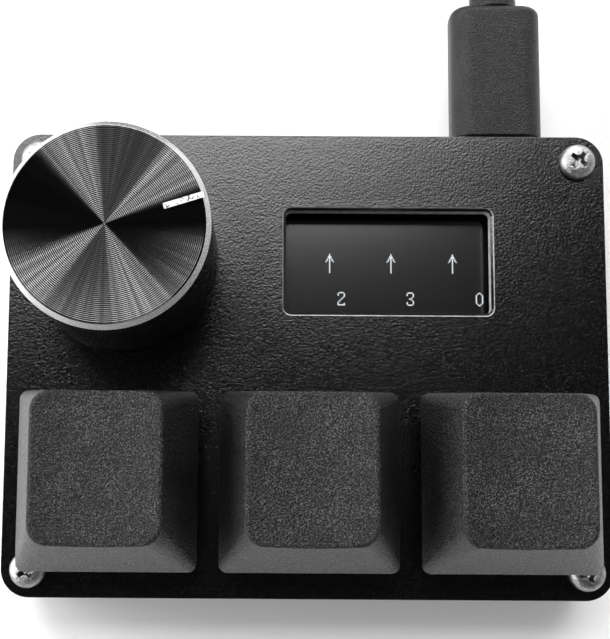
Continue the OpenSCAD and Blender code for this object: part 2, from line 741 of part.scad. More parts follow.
module encoder_bush() color([0.66, 0.66, 0.67]) at_dial() difference() {
  union() {
    slab(encoder_w, encoder_d, bush_plate_t, 0.3, bush_plate_z);
    translate([0, 0, bush_plate_top - cut]) cylinder(r = bush_r, h = bush_h + cut - 0.4);
    translate([0, 0, bush_top - 0.4]) cylinder(r1 = bush_r, r2 = bush_r - 0.3, h = 0.4);
  }
  translate([0, 0, bush_plate_z - cut])
    cylinder(r = shaft_r + shaft_gap, h = bush_plate_t + bush_h + 2 * cut);
}

module encoder_clip() color([0.78, 0.78, 0.8]) at_dial() difference() {
  union() {
    translate([0, 0, bush_plate_top + clip_t / 2])
      cube([encoder_w + 2 * clip_t, clip_w, clip_t], center = true);
    for (x = [-1, 1]) translate([x * (encoder_w + clip_t) / 2, 0, 0]) {
      translate([0, 0, (clip_top + board_top) / 2])
        cube([clip_t, clip_w, clip_top - board_top], center = true);
      translate([0, 0, board_z]) cube([clip_t, clip_tab_w, 2 * board_t + 1.2], center = true);
    }
  }
  translate([0, 0, bush_plate_top - cut]) cylinder(r = bush_r + 0.15, h = clip_t + 2 * cut);
}

module encoder_pins() color([0.8, 0.8, 0.78]) at_dial() for (p = encoder_pin_places) {
  reach = abs(p.y) - encoder_d / 2;
  translate([p.x, sign(p.y) * (encoder_d + reach) / 2, board_top + 0.5])
    cube([encoder_pin_w, reach, encoder_pin_t], center = true);
  block([p.x - encoder_pin_w / 2, p.y - encoder_pin_t / 2, board_z - 1.2],
    [p.x + encoder_pin_w / 2, p.y + encoder_pin_t / 2, board_top + 0.5 + encoder_pin_t / 2]);
}

module encoder_shaft() color([0.75, 0.75, 0.77]) at_dial() {
  translate([0, 0, tip_z]) linear_extrude(shoulder_z - tip_z + cut) two_flats(tip_r, tip_flat);
  difference() {
    translate([0, 0, shoulder_z]) cylinder(r = shaft_r, h = shaft_top - shoulder_z);
    block([shaft_r - flat_depth, -shaft_r, flat_z], [2 * shaft_r, shaft_r, knob_top]);
  }
}

module knob_core() color([0.12, 0.12, 0.12]) at_dial() difference() {
  union() {
    translate([0, 0, core_top - core_flange_t])
      cylinder(r = knob_r - knob_wall - core_gap, h = core_flange_t);
    translate([0, 0, knob_z + 0.6]) cylinder(r = core_hub_r, h = core_top - knob_z - 1);
    for (a = [30:60:330]) rotate([0, 0, a])
      block([core_hub_r - 1, -0.6, knob_z + 3], [knob_r - knob_wall - 0.1, 0.6, core_top - 1]);
  }
  translate([0, 0, knob_z]) cylinder(r = core_recess_r, h = core_recess_top - knob_z);
  difference() {
    translate([0, 0, knob_z]) cylinder(r = shaft_r + core_gap, h = shaft_top + 0.3 - knob_z);
    block([shaft_r - flat_depth + core_gap, -knob_r, core_recess_top], [knob_r, knob_r, knob_top]);
  }
}

module knob_shell() color([0.1, 0.1, 0.11]) at_dial() difference() {
  rotate_extrude($fn = 96) polygon([[0, core_top], [knob_r - knob_wall, core_top],
    [knob_r - knob_wall, knob_z], [knob_r - knob_edge, knob_z], [knob_r, knob_z + knob_edge],
    [knob_r, knob_top - knob_chamfer], [knob_r - knob_chamfer, knob_top], [0, knob_top]]);
  rotate([0, 0, index_angle])
    block([index_from_r, -index_w / 2, knob_top - index_depth], [knob_r + cut, index_w / 2, knob_top + cut]);
}

// ---------------------------------------------------------------- cable

module plug_shell() color([0.75, 0.75, 0.77]) translate([port_x, 0, port_z]) difference() {
  towards_back(plug_y, mold_y - plug_y) oblong(plug_w, plug_h);
  towards_back(plug_y - cut, mold_y - plug_y + 2 * cut)
    oblong(plug_w - 2 * plug_wall, plug_h - 2 * plug_wall);
}

module plug_insert() color([0.08, 0.08, 0.08]) translate([port_x, 0, port_z]) difference() {
  towards_back(plug_y + 0.2, mold_y - plug_y - 0.2)
    oblong(plug_w - 2 * plug_wall - 0.04, plug_h - 2 * plug_wall - 0.04);
  translate([-tongue_w / 2 - plug_gap, plug_y, -tongue_h / 2 - plug_gap])
    cube([tongue_w + 2 * plug_gap, tongue_l + 0.5, tongue_h + 2 * plug_gap]);
}

module plug_overmold() color([0.2, 0.2, 0.205]) translate([port_x, 0, port_z]) {
  towards_back(mold_y, mold_l - mold_taper) plan(mold_w, mold_h, mold_r);
  hull($fn = 32) {
    towards_back(mold_end - mold_taper, 0.02) plan(mold_w, mold_h, mold_r);
    towards_back(mold_end - 0.02, 0.02) plan(mold_w - 2.6, mold_h - 0.8, mold_r - 0.6);
  }
}

// a tapered sleeve round the cable, l long, from the origin up
module sleeve(l) difference() {
  cylinder(r1 = relief_r[0], r2 = relief_r[1], h = l);
  translate([0, 0, -cut]) cylinder(r = cable_r + relief_gap, h = l + 2 * cut);
}

module strain_relief() color([0.16, 0.16, 0.165])
  translate([port_x, mold_end, port_z]) rotate([-90, 0, 0]) sleeve(relief_l);

module on_cord() translate([port_x, mold_end, 0]) children();

module cable_run() color([0.13, 0.13, 0.135]) on_cord() tube(run_route, cable_r, 8, [1, 0, 0]);

module cable_tail() color([0.13, 0.13, 0.135]) on_cord() tube(tail_route, cable_r, 8, [1, 0, 0]);

// the coil's middle line: in along the lower layer, up a layer in the half turn where it reverses, and out again
function coil_radius(t) = coil_out_r - coil_step * min(t, coil_turns - t);
function coil_height(t) =
  let (climb = max(0, min(1, 2 * (t - coil_turns / 2 + 0.25))))
  coil_z + coil_step * (1 - cos(180 * climb)) / 2;
function coil_point(t) =
  [coil_x + coil_radius(t) * cos(360 * t), coil_y + coil_radius(t) * sin(360 * t), coil_height(t)];
coil_steps = coil_turns * coil_rings;
coil_line = concat([[0, coil_y - cable_d, coil_z]],
  [for (k = [0:coil_steps]) coil_point(k / coil_rings)],
  [[0, coil_y + cable_d, coil_z + coil_step]]);
coil_gap = min([for (i = [0:coil_steps - coil_rings / 2], j = [i + coil_rings / 2:coil_steps])
  norm(coil_line[i + 1] - coil_line[j + 1])]) - cable_d;

module cable_coil() color([0.13, 0.13, 0.135]) on_cord() {
  echo("least gap of the coil to itself, in mm", coil_gap);
  tube(coil_line, cable_r, 6, [0, 0, 1]);
}

module cable_ties() color([0.05, 0.05, 0.05]) on_cord() {
  inner_r = coil_out_r - coil_step * (coil_turns / 2 - 0.25) - cable_r - tie_side_gap;
  outer_r = coil_out_r - coil_step / 4 + cable_r + tie_side_gap;
  inner_h = coil_step + cable_d + 2 * tie_gap;
  for (s = [-1, 1]) translate([coil_x, coil_y + s * (inner_r + outer_r) / 2, coil_z + coil_step / 2])
    rotate([90, 0, 90]) translate([0, 0, -tie_w / 2]) linear_extrude(tie_w) difference() {
      plan(outer_r - inner_r + 2 * tie_t, inner_h + 2 * tie_t, 1.5);
      plan(outer_r - inner_r, inner_h, 1);
    }
}

module host_relief() color([0.16, 0.16, 0.165])
  on_cord() translate([0, host_y, host_h / 2]) rotate([90, 0, 0]) sleeve(host_relief_l);

module host_overmold() color([0.2, 0.2, 0.205]) on_cord() translate([0, 0, host_h / 2]) {
  towards_back(host_y + mold_taper, host_l - mold_taper) plan(host_w, host_h, host_r);
  hull($fn = 32) {
    towards_back(host_y + mold_taper, 0.02) plan(host_w, host_h, host_r);
    towards_back(host_y, 0.02) plan(host_w - 3, host_h - 1, host_r - 0.6);
  }
}

module host_shell() color([0.75, 0.75, 0.77]) on_cord() translate([0, 0, host_h / 2]) difference() {
  towards_back(host_y + host_l, host_shell_l) plan(host_shell_w, host_shell_h, 0.4);
  towards_back(host_y + host_l - cut, host_shell_l + 2 * cut)
    plan(host_shell_w - 2 * host_wall, host_shell_h - 2 * host_wall, 0.2);
  for (x = [-1, 1]) translate([x * host_shell_w / 4, host_y + host_l + host_shell_l / 2, 0])
    cube([2.2, 2.4, 2 * host_shell_h], center = true);
}

module host_insert() color([0.9, 0.9, 0.9])
  on_cord() translate([0, 0, (host_h - host_shell_h + host_tongue_h) / 2 + host_wall + 0.02])
    towards_back(host_y + host_l, host_shell_l - 0.5)
      plan(host_shell_w - 2 * host_wall - 0.1, host_tongue_h, 0.3);

top_plate();
case_frame();
bottom_plate();
top_screws();
bottom_screws();
rubber_feet();
main_board();
controller_chip();
board_parts();
port_shell();
port_tongue();
display_glass();
display_backlight();
display_flex();
display_tape();
keycap_1();
keycap_2();
keycap_3();
key_stem_1();
key_stem_2();
key_stem_3();
switch_cover_1();
switch_cover_2();
switch_cover_3();
switch_base_1();
switch_base_2();
switch_base_3();
key_spring_1();
key_spring_2();
key_spring_3();
switch_contacts_1();
switch_contacts_2();
switch_contacts_3();
switch_sockets();
encoder_base();
encoder_bush();
encoder_clip();
encoder_rotor();
detent_spring();
encoder_pins();
push_dome();
encoder_shaft();
knob_core();
knob_shell();
plug_shell();
plug_insert();
plug_overmold();
strain_relief();
cable_run();
cable_coil();
cable_tail();
cable_ties();
host_relief();
host_overmold();
host_shell();
host_insert();
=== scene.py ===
"""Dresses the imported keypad: rounded plates, grained keycaps, a spun dial, a lit display, its cable."""

import json
import math

import bpy
from bpy.props import FloatProperty, FloatVectorProperty, IntProperty, PointerProperty
from mathutils import Matrix, Vector

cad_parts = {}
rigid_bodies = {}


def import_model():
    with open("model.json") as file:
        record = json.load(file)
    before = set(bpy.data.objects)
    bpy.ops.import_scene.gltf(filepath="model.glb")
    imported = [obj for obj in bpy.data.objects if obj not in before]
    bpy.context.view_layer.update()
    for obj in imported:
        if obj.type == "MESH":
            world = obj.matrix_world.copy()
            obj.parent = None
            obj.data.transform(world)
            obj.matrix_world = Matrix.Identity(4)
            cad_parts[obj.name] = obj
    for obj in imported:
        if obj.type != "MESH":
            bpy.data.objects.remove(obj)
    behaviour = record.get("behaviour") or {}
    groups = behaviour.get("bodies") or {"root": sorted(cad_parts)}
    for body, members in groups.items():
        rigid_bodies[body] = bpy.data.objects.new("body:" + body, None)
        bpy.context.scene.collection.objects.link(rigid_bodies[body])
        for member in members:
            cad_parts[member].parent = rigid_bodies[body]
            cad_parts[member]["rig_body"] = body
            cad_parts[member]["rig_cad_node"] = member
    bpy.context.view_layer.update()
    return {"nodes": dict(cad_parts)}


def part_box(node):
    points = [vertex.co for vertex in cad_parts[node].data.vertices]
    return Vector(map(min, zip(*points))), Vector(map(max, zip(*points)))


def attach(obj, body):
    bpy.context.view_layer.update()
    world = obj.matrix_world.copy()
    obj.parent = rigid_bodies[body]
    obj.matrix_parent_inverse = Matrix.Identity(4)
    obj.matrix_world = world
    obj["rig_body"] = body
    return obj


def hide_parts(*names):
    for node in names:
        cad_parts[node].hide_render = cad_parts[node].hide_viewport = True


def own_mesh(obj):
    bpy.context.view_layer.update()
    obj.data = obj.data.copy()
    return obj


bl_info = {
    "name": "Macro keypad dressing",
    "version": (1, 0, 0),
    "blender": (4, 5, 0),
    "location": "3D View > Sidebar > Keypad",
    "description": "Builds the shown pieces, finishes and stage of a small keypad round its packed frame",
    "category": "Object",
}

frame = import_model()
MM = 0.001
CASE = "case"
SLIVER = 0.004 * MM  # corners closer than this are taken for one

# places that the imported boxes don't give, in millimetres of the row frame
PLATE_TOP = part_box("top_plate")[1].z / MM
GLASS_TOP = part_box("display_glass")[1].z / MM
KEY_ROW_Y = -12.8
KEY_PITCH = 20.3
DIAL = Vector((-19.7, 11.1, 0))
WINDOW = Vector((8.7, 11.0, 0))
PORT_X = 21.0
PORT_Z = 9.1
FAR_Z = 4.0
SCREWS = [(sx * 29.2, sy * 22.0) for sx in (-1, 1) for sy in (-1, 1)]
FEET = [(sx * 24.1, sy * 16.9) for sx in (-1, 1) for sy in (-1, 1)]


# ---------------------------------------------------------------- what a user may change


class KeypadCaseSettings(bpy.types.PropertyGroup):
    corner: FloatProperty(name="Corner radius", description="Radius of the case's upright corners",
                          default=3.0 * MM, min=0.001, max=0.006, unit="LENGTH")
    edge: FloatProperty(name="Edge rounding", description="Rounding of the plates' edges under the coat",
                        default=0.14 * MM, min=0.00005, max=0.0004, unit="LENGTH")
    coat: FloatVectorProperty(name="Coat", description="Colour of the textured coat", subtype="COLOR",
                              size=3, min=0, max=1, default=(0.0022, 0.0022, 0.0024))


class KeypadKeycapSettings(bpy.types.PropertyGroup):
    dish: FloatProperty(name="Dish", description="Depth of the dish in a keycap's top",
                        default=0.75 * MM, min=0.0, max=0.001, unit="LENGTH")
    rim: FloatProperty(name="Rim", description="Rounding of the edge round a keycap's top",
                       default=0.4 * MM, min=0.0001, max=0.001, unit="LENGTH")
    plastic: FloatVectorProperty(name="Plastic", description="Colour of the keycaps", subtype="COLOR",
                                 size=3, min=0, max=1, default=(0.0065, 0.0065, 0.0067))


class KeypadDialSettings(bpy.types.PropertyGroup):
    rings: IntProperty(name="Turned rings", description="Number of turned rings on the dial's face",
                       default=52, min=20, max=80)
    face: FloatVectorProperty(name="Face", description="Colour of the dial's anodised metal", subtype="COLOR",
                              size=3, min=0, max=1, default=(0.075, 0.075, 0.0765))
    bright: FloatVectorProperty(name="Bare metal", description="Colour of the dial's bare chamfers",
                                subtype="COLOR", size=3, min=0, max=1, default=(0.58, 0.58, 0.59))


class KeypadDisplaySettings(bpy.types.PropertyGroup):
    pitch: FloatProperty(name="Pixel pitch", description="Distance from pixel to pixel",
                         default=0.1356 * MM, min=0.0001, max=0.0002, precision=7, unit="LENGTH")
    lit: FloatVectorProperty(name="Lit marks", description="Colour of the lit marks", subtype="COLOR",
                             size=3, min=0, max=1, default=(0.74, 0.76, 0.78))


class KeypadCableSettings(bpy.types.PropertyGroup):
    length: FloatProperty(name="Cable length", description="Real length of the whole cable",
                          default=1.0, min=0.5, max=3, unit="LENGTH")
    diameter: FloatProperty(name="Cable diameter", description="Diameter of the cable's jacket",
                            default=4.0 * MM, min=0.002, max=0.006, unit="LENGTH")


class KeypadStageSettings(bpy.types.PropertyGroup):
    floor: FloatVectorProperty(name="Floor", description="Colour of the plain floor", subtype="COLOR",
                               size=3, min=0, max=1, default=(0.93, 0.93, 0.93))
    side_lamp: FloatProperty(name="Side lamp", description="Power of the low lamp at the left",
                             default=5.5, min=0, max=20)
    back_lamp: FloatProperty(name="Back lamp", description="Power of the low lamp behind the keypad",
                             default=3.4, min=0, max=20)
    left_lamp: FloatProperty(name="Left sky lamp", description="Radiance of the sky's left lamp",
                             default=7.0, min=0, max=20)
    right_lamp: FloatProperty(name="Right sky lamp", description="Radiance of the sky's right lamp",
                              default=8.0, min=0, max=20)
    near_lamp: FloatProperty(name="Near sky lamp", description="Radiance of the sky's lamp over the keypad",
                             default=9.5, min=0, max=20)
    horizon: FloatProperty(name="Horizon", description="Radiance of the sky near the horizon",
                           default=1.1, min=0, max=20)
    top: FloatProperty(name="Top", description="Radiance of the rest of the sky", default=0.04, min=0, max=2)


# ---------------------------------------------------------------- modelling by hand, in code


def leave_all():
    """Back to object mode with nothing selected."""
    if bpy.context.object and bpy.context.object.mode != "OBJECT":
        bpy.ops.object.mode_set(mode="OBJECT")
    bpy.ops.object.select_all(action="DESELECT")


def pick(*pieces):
    """Selects these pieces alone, the first one active."""
    leave_all()
    for piece in pieces:
        piece.select_set(True)
    bpy.context.view_layer.objects.active = pieces[0]


def settle(piece):
    """Puts the piece's place into its mesh, so that its object lies at the origin."""
    pick(piece)
    bpy.ops.object.transform_apply(location=True, rotation=True, scale=True)
    return piece


def named(piece, name):
    piece.name = name
    piece.data.name = name
    return piece


def linked(name, data):
    """A new object that holds the data, linked to the scene."""
    thing = bpy.data.objects.new(name, data)
    bpy.context.scene.collection.objects.link(thing)
    return thing


def primitive(kind, name, **settings):
    """Adds one of the mesh primitives under a name."""
    leave_all()
    getattr(bpy.ops.mesh, f"primitive_{kind}_add")(**settings)
    return named(bpy.context.object, name)


def modify(piece, kind, **settings):
    """Applies a modifier with its settings to the piece, which is picked already."""
    modifier = piece.modifiers.new(kind, kind)
    for key, value in settings.items():
        setattr(modifier, key, value)
    bpy.ops.object.modifier_apply(modifier=modifier.name)
    return piece


def block(name, low, high):
    """A block from its lowest and highest corners, in millimetres."""
    low, high = Vector(low) * MM, Vector(high) * MM
    piece = primitive("cube", name, size=1, location=(low + high) / 2)
    piece.scale = high - low
    return settle(piece)


def rod(name, middle, radius, length, steps=48):
    """An upright rod about its middle, in millimetres."""
    return settle(primitive("cylinder", name, vertices=steps, radius=radius * MM, depth=length * MM,
                            location=Vector(middle) * MM))


def choose(piece, kind, rule):
    """Enters edit mode with the vertices, edges or faces selected that the rule is true for."""
    pick(piece)
    bpy.ops.object.mode_set(mode="EDIT")
    bpy.ops.mesh.select_mode(type=kind)
    bpy.ops.mesh.select_all(action="DESELECT")
    bpy.ops.object.mode_set(mode="OBJECT")
    mesh = piece.data
    if kind == "EDGE":
        for edge in mesh.edges:
            edge.select = rule(*(mesh.vertices[v].co / MM for v in edge.vertices))
    else:
        for element in mesh.vertices if kind == "VERT" else mesh.polygons:
            element.select = rule(element)
    bpy.ops.object.mode_set(mode="EDIT")


def finish_edit():
    bpy.ops.object.mode_set(mode="OBJECT")


def edit_whole(piece, **tools):
    """Runs edit mode's tools on the whole piece, in order, each given by its name and settings."""
    pick(piece)
    bpy.ops.object.mode_set(mode="EDIT")
    for tool, settings in tools.items():
        bpy.ops.mesh.select_all(action="SELECT")
        getattr(bpy.ops.mesh, tool)(**settings)
    finish_edit()
    return piece


def along(axis, least=0.5):
    """A rule for the edges that run along an axis and are longer than least millimetres."""
    def rule(a, b):
        run = b - a
        return abs(run[axis]) > 0.999 * run.length and run.length > least
    return rule


def at_level(level, axis=2, margin=0.01):
    """A rule for the edges that lie at one level of an axis, which is the height if none is named."""
    return lambda a, b: abs(a[axis] - level) < margin and abs(b[axis] - level) < margin


def round_edges(piece, rule, radius, segments):
    choose(piece, "EDGE", rule)
    bpy.ops.mesh.bevel(offset=radius * MM, segments=segments, affect="EDGES")
    finish_edit()
    return piece


def slab(name, low, high, radius, segments=10, axis=2):
    """A block whose four edges along an axis are rounded."""
    return round_edges(block(name, low, high), along(axis), radius, segments)


def cut(piece, other):
    """Cuts the other piece from this one, and removes it."""
    pick(piece)
    modify(piece, "BOOLEAN", operation="DIFFERENCE", object=other, solver="EXACT")
    bpy.data.objects.remove(other)
    return piece


def smooth(piece, angle):
    """Shades the piece smoothly, but for edges sharper than angle, and evens out its large faces."""
    pick(piece)
    bpy.ops.object.shade_smooth_by_angle(angle=math.radians(angle))
    return modify(piece, "WEIGHTED_NORMAL", keep_sharp=True)


def soften(piece, width, segments=3, angle=35):
    """Clears the slivers that cuts leave, rounds every sharp edge by width and shades the piece."""
    edit_whole(piece, remove_doubles={"threshold": SLIVER}, dissolve_degenerate={"threshold": SLIVER})
    if width:
        modify(piece, "BEVEL", width=width * MM, segments=segments, limit_method="ANGLE",
               angle_limit=math.radians(angle))
    return smooth(piece, angle)


def outline(name, points):
    """A line through the points, in millimetres, drawn by extruding one vertex."""
    piece = settle(primitive("plane", name, size=MM, location=Vector(points[0]) * MM))
    bpy.ops.object.mode_set(mode="EDIT")
    bpy.ops.mesh.select_mode(type="VERT")
    bpy.ops.mesh.select_all(action="SELECT")
    bpy.ops.mesh.merge(type="CENTER")
    for a, b in zip(points, points[1:]):
        step = (Vector(b) - Vector(a)) * MM
        bpy.ops.mesh.extrude_vertices_move(TRANSFORM_OT_translate={"value": step})
    finish_edit()
    return piece


def wind(piece, steps, turns=1, rise=0.0, axis="Z"):
    """Turns the piece's line round the origin's axis into a shell that climbs by rise millimetres a turn.

    The spin tool would order its faces anew in each run, and the cuts after it would differ too.
    """
    pick(piece)
    modify(piece, "SCREW", axis=axis, steps=steps, render_steps=steps, iterations=turns,
           screw_offset=rise * MM)
    edit_whole(piece, remove_doubles={"threshold": SLIVER / 2})
    if rise:
        edit_whole(piece, fill_holes={"sides": 0})
    return edit_whole(piece, normals_make_consistent={"inside": False})


def lathe(name, profile, middle, steps=64, axis="Z"):
    """Turns a profile of (radius, height) pairs round an axis through the middle, in millimetres."""
    points = [(r, 0, h) if axis == "Z" else (r, h, 0) for r, h in profile]
    piece = wind(outline(name, points), steps, axis=axis)
    piece.location = Vector(middle) * MM
    return settle(piece)


def join(pieces, name):
    pick(*pieces)
    if len(pieces) > 1:
        bpy.ops.object.join()
    return named(bpy.context.object, name)


def copy_moved(piece, name, offset):
    """A copy with its own mesh, moved by offset millimetres."""
    pick(piece)
    bpy.ops.object.duplicate()
    twin = named(bpy.context.object, name)
    twin.location = Vector(offset) * MM
    return settle(twin)


def softened_copy(node, name, width, segments=2, angle=40):
    """A copy of a CAD node with its triangles merged into faces and its edges rounded."""
    source = frame["nodes"][node]
    pick(source)
    bpy.ops.object.duplicate()
    piece = named(bpy.context.object, name)
    piece.parent = None
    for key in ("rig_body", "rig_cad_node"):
        del piece[key]
    edit_whole(piece, remove_doubles={"threshold": SLIVER / 4},
               dissolve_limited={"angle_limit": math.radians(0.5)})
    bpy.ops.mesh.customdata_custom_splitnormals_clear()
    return soften(piece, width, segments, angle)


def wear(piece, material, rule=None):
    """Gives the piece a material, or gives it to the faces that the rule is true for."""
    if rule is None:
        piece.data.materials.clear()
        piece.data.materials.append(material)
        for face in piece.data.polygons:
            face.material_index = 0
        return piece
    index = len(piece.data.materials)
    piece.data.materials.append(material)
    for face in piece.data.polygons:
        if rule(face):
            face.material_index = index
    return piece


def extent(node):
    """The lowest and highest corner of a CAD node, in millimetres."""
    return [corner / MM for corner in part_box(node)]


def dress(nodes, material):
    """Gives a material to CAD nodes that are shown as they are, named in one string."""
    for node in nodes.split():
        wear(frame["nodes"][node], material)


def belongs(piece, body, slot, *nodes):
    """The piece rides on a body and stands for these CAD nodes, which it hides. The slot is not used."""
    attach(piece, body)
    if nodes:
        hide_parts(*nodes)
    return piece


# ---------------------------------------------------------------- finishes


class Graph:
    """A node tree that is built by calls, most of which give back the socket of what they made."""

    def __init__(self, owner):
        owner.use_nodes = True
        self.tree = owner.node_tree
        self.tree.nodes.clear()

    def add(self, kind, values=None, **settings):
        """Adds a node with its settings, and with values for sockets that nothing is linked to."""
        node = self.tree.nodes.new(kind)
        for key, value in settings.items():
            setattr(node, key, value)
        for socket, value in (values or {}).items():
            node.inputs[socket].default_value = value
        return node

    def link(self, source, node, socket):
        self.tree.links.new(source, node.inputs[socket])

    def ramp(self, source, low, high, start=0.0, end=1.0):
        """Maps a value from low..high to start..end, clamped."""
        limits = {"From Min": low, "From Max": high, "To Min": start, "To Max": end}
        node = self.add("ShaderNodeMapRange", limits, clamp=True)
        self.link(source, node, "Value")
        return node.outputs["Result"]

    def math(self, operation, a, b=None):
        node = self.add("ShaderNodeMath", operation=operation)
        for socket, value in enumerate((a, b)):
            if isinstance(value, (int, float)):
                node.inputs[socket].default_value = value
            elif value is not None:
                self.tree.links.new(value, node.inputs[socket])
        return node.outputs["Value"]

    def product(self, first, *others):
        for other in others:
            first = self.math("MULTIPLY", first, other)
        return first

    def total(self, first, *others):
        for other in others:
            first = self.math("ADD", first, other)
        return first

    def split(self, place):
        node = self.add("ShaderNodeSeparateXYZ")
        self.link(place, node, "Vector")
        return node.outputs

    def ribs(self, *waves):
        """Crossed waves: each a value and how fast its sine goes round."""
        return self.product(*[self.math("SINE", self.product(value, pace)) for value, pace in waves])

    def far_from(self, x, y):
        return self.math("SQRT", self.total(self.product(x, x), self.product(y, y)))


class Mixer(Graph):
    """One material's nodes, with Object coordinates in millimetres from a middle at its start."""

    def __init__(self, name, middle=(0, 0, 0)):
        self.material = bpy.data.materials.new(name)
        super().__init__(self.material)
        self.shader = self.add("ShaderNodeBsdfPrincipled")
        out = self.add("ShaderNodeOutputMaterial")
        self.tree.links.new(self.shader.outputs["BSDF"], out.inputs["Surface"])
        coordinates = self.add("ShaderNodeTexCoord")
        mapping = self.add("ShaderNodeMapping", {"Location": -Vector(middle), "Scale": (1 / MM,) * 3})
        self.tree.links.new(coordinates.outputs["Object"], mapping.inputs["Vector"])
        self.place = mapping.outputs["Vector"]
        self.last_normal = None

    def noise(self, size, detail=2.0, roughness=0.5, place=None):
        """Noise whose grains are about size millimetres across."""
        node = self.add("ShaderNodeTexNoise", {"Scale": 1 / size, "Detail": detail, "Roughness": roughness})
        self.link(place or self.place, node, "Vector")
        return node.outputs["Fac"]

    def cells(self, size):
        """Distance to the nearest of scattered points, about size millimetres apart."""
        node = self.add("ShaderNodeTexVoronoi", {"Scale": 1 / size})
        self.link(self.place, node, "Vector")
        return node.outputs["Distance"]

    def blend(self, amount, first, second):
        """A colour between two colours, or colour sockets, by an amount."""
        node = self.add("ShaderNodeMix", data_type="RGBA")
        self.link(amount, node, "Factor")
        for socket, value in (("A", first), ("B", second)):
            target = [s for s in node.inputs if s.name == socket and s.type == "RGBA"][0]
            if isinstance(value, bpy.types.NodeSocket):
                self.tree.links.new(value, target)
            else:
                target.default_value = (*value, 1)
        return [s for s in node.outputs if s.type == "RGBA"][0]

    def bump(self, height, depth):
        """Adds relief of a depth in millimetres to the surface."""
        node = self.add("ShaderNodeBump", {"Strength": 1.0, "Distance": depth * MM})
        self.link(height, node, "Height")
        if self.last_normal is not None:
            self.link(self.last_normal, node, "Normal")
        self.last_normal = node.outputs["Normal"]
        self.link(self.last_normal, self.shader, "Normal")

    def set(self, **values):
        """Sets the shader's sockets, by names with spaces as underscores."""
        for key, value in values.items():
            socket = self.shader.inputs[key.replace("_", " ")]
            if isinstance(value, bpy.types.NodeSocket):
                self.tree.links.new(value, socket)
            elif isinstance(value, (tuple, Vector)) and len(value) == 3:
                socket.default_value = (*value, 1)
            else:
                socket.default_value = value
        return self.material


def shade(colour, factor):
    return tuple(min(1.0, c * factor) for c in colour)


def moulded(name, colour, rough=(0.4, 0.55), grain=0.15, depth=0.006, mottle=0.12, blotch=3.0, **more):
    """Moulded plastic: fine grain, and slow change of colour and of gloss."""
    m = Mixer(name)
    patches = m.noise(blotch, 3)
    fine = m.noise(grain, 4, 0.7)
    tone = m.blend(m.ramp(patches, 0.3, 0.7), shade(colour, 1 - mottle), shade(colour, 1 + mottle))
    m.bump(fine, depth)
    return m.set(Base_Color=tone, Roughness=m.ramp(fine, 0.3, 0.7, *rough), **more)


def metal(name, colour, rough=(0.2, 0.35), grain=0.1, depth=0.003, tarnish=0.25, streak=(1, 1, 1)):
    """Plated or bare metal with fine scratches along one way and faint tarnish."""
    m = Mixer(name)
    stretch = m.add("ShaderNodeVectorMath", {1: streak}, operation="MULTIPLY")
    m.link(m.place, stretch, 0)
    lines = m.noise(grain, 3, 0.6, stretch.outputs["Vector"])
    patches = m.noise(1.3, 4, 0.6)
    tone = m.blend(m.ramp(patches, 0.35, 0.75), colour, shade(colour, 1 - tarnish))
    m.bump(lines, depth)
    return m.set(Base_Color=tone, Metallic=1.0, Roughness=m.ramp(lines, 0.3, 0.7, *rough))


def orange_peel(name, colour):
    """The case's textured black coat: close bumps with a satin gloss, painted highlight on their peaks, painted
    shade in their dips, and a few specks of dust.
    """
    m = Mixer(name)
    peel = m.noise(0.2, 2, 0.5)
    # painted highlight and shade: the coat is ten times paler on the bumps' peaks than in their dips
    tone = m.blend(m.ramp(peel, 0.45, 0.7), shade(colour, 0.3), shade(colour, 3.0))
    tone = m.blend(m.ramp(m.cells(6.5), 0.014, 0.02, 1, 0), tone, (0.4, 0.4, 0.4))
    m.bump(peel, 0.025)
    return m.set(Base_Color=tone, Roughness=m.ramp(peel, 0.3, 0.7, 0.13, 0.17), Specular_IOR_Level=0.6)


def grained(name, colour, size, peaks, highlight_gain, depth, rough, level):
    """Spark-eroded plastic: coarse grain that catches the light, with peaks paler by gain as painted highlight,
    and dips as painted shade.
    """
    m = Mixer(name)
    sand = m.noise(size, 2, 0.6)
    worn = m.ramp(m.noise(4.0, 2), 0.35, 0.7, 0.7, 1.3)
    # painted highlight on the grain's peaks, up to gain times the colour, and painted shade in its dips, varied
    # in slow random patches
    tone = m.blend(m.product(m.ramp(sand, *peaks), worn), shade(colour, 0.05), shade(colour, highlight_gain))
    m.bump(sand, depth)
    return m.set(Base_Color=tone, Roughness=m.ramp(sand, 0.4, 0.65, *rough), Specular_IOR_Level=level)


def spun_face(name, colour, pitch):
    """The dial's turned face: rings in the mesh, painted shade in their valleys, painted highlight on their
    crests, and faint spokes from the middle.
    """
    m = Mixer(name, DIAL)
    x, y, _ = m.split(m.place)
    radius = m.far_from(x, y)
    spoke = m.add("ShaderNodeCombineXYZ")
    m.link(m.math("DIVIDE", x, radius), spoke, "X")
    m.link(m.math("DIVIDE", y, radius), spoke, "Y")
    spokes = m.noise(0.07, 2, 0.6, spoke.outputs["Vector"])
    slow = m.noise(0.45, 2, 0.5, spoke.outputs["Vector"])
    painted_ring_shading = m.math("PINGPONG", m.product(radius, 1 / pitch), 0.5)
    # painted shade in the rings' valleys and painted highlight on their crests
    dark = m.blend(m.ramp(painted_ring_shading, 0.1, 0.5), shade(colour, 0.12), shade(colour, 1.35))
    bright = m.blend(m.ramp(painted_ring_shading, 0.1, 0.5), shade(colour, 0.2), shade(colour, 2.3))
    tone = m.blend(m.ramp(spokes, 0.38, 0.66), dark, bright)
    m.bump(m.noise(0.05, 1), 0.001)
    return m.set(Base_Color=tone, Metallic=1.0, Roughness=m.ramp(slow, 0.35, 0.65, 0.06, 0.09))


def paint_line(name):
    """The dial's pale pointer paint, thin in places."""
    m = Mixer(name)
    flecks = m.noise(0.3, 3, 0.65)
    tone = m.blend(m.ramp(flecks, 0.52, 0.6), (0.85, 0.85, 0.85), (0.06, 0.06, 0.06))
    m.bump(m.noise(0.12, 2), 0.01)
    return m.set(Base_Color=tone, Roughness=m.ramp(flecks, 0.3, 0.7, 0.3, 0.5))


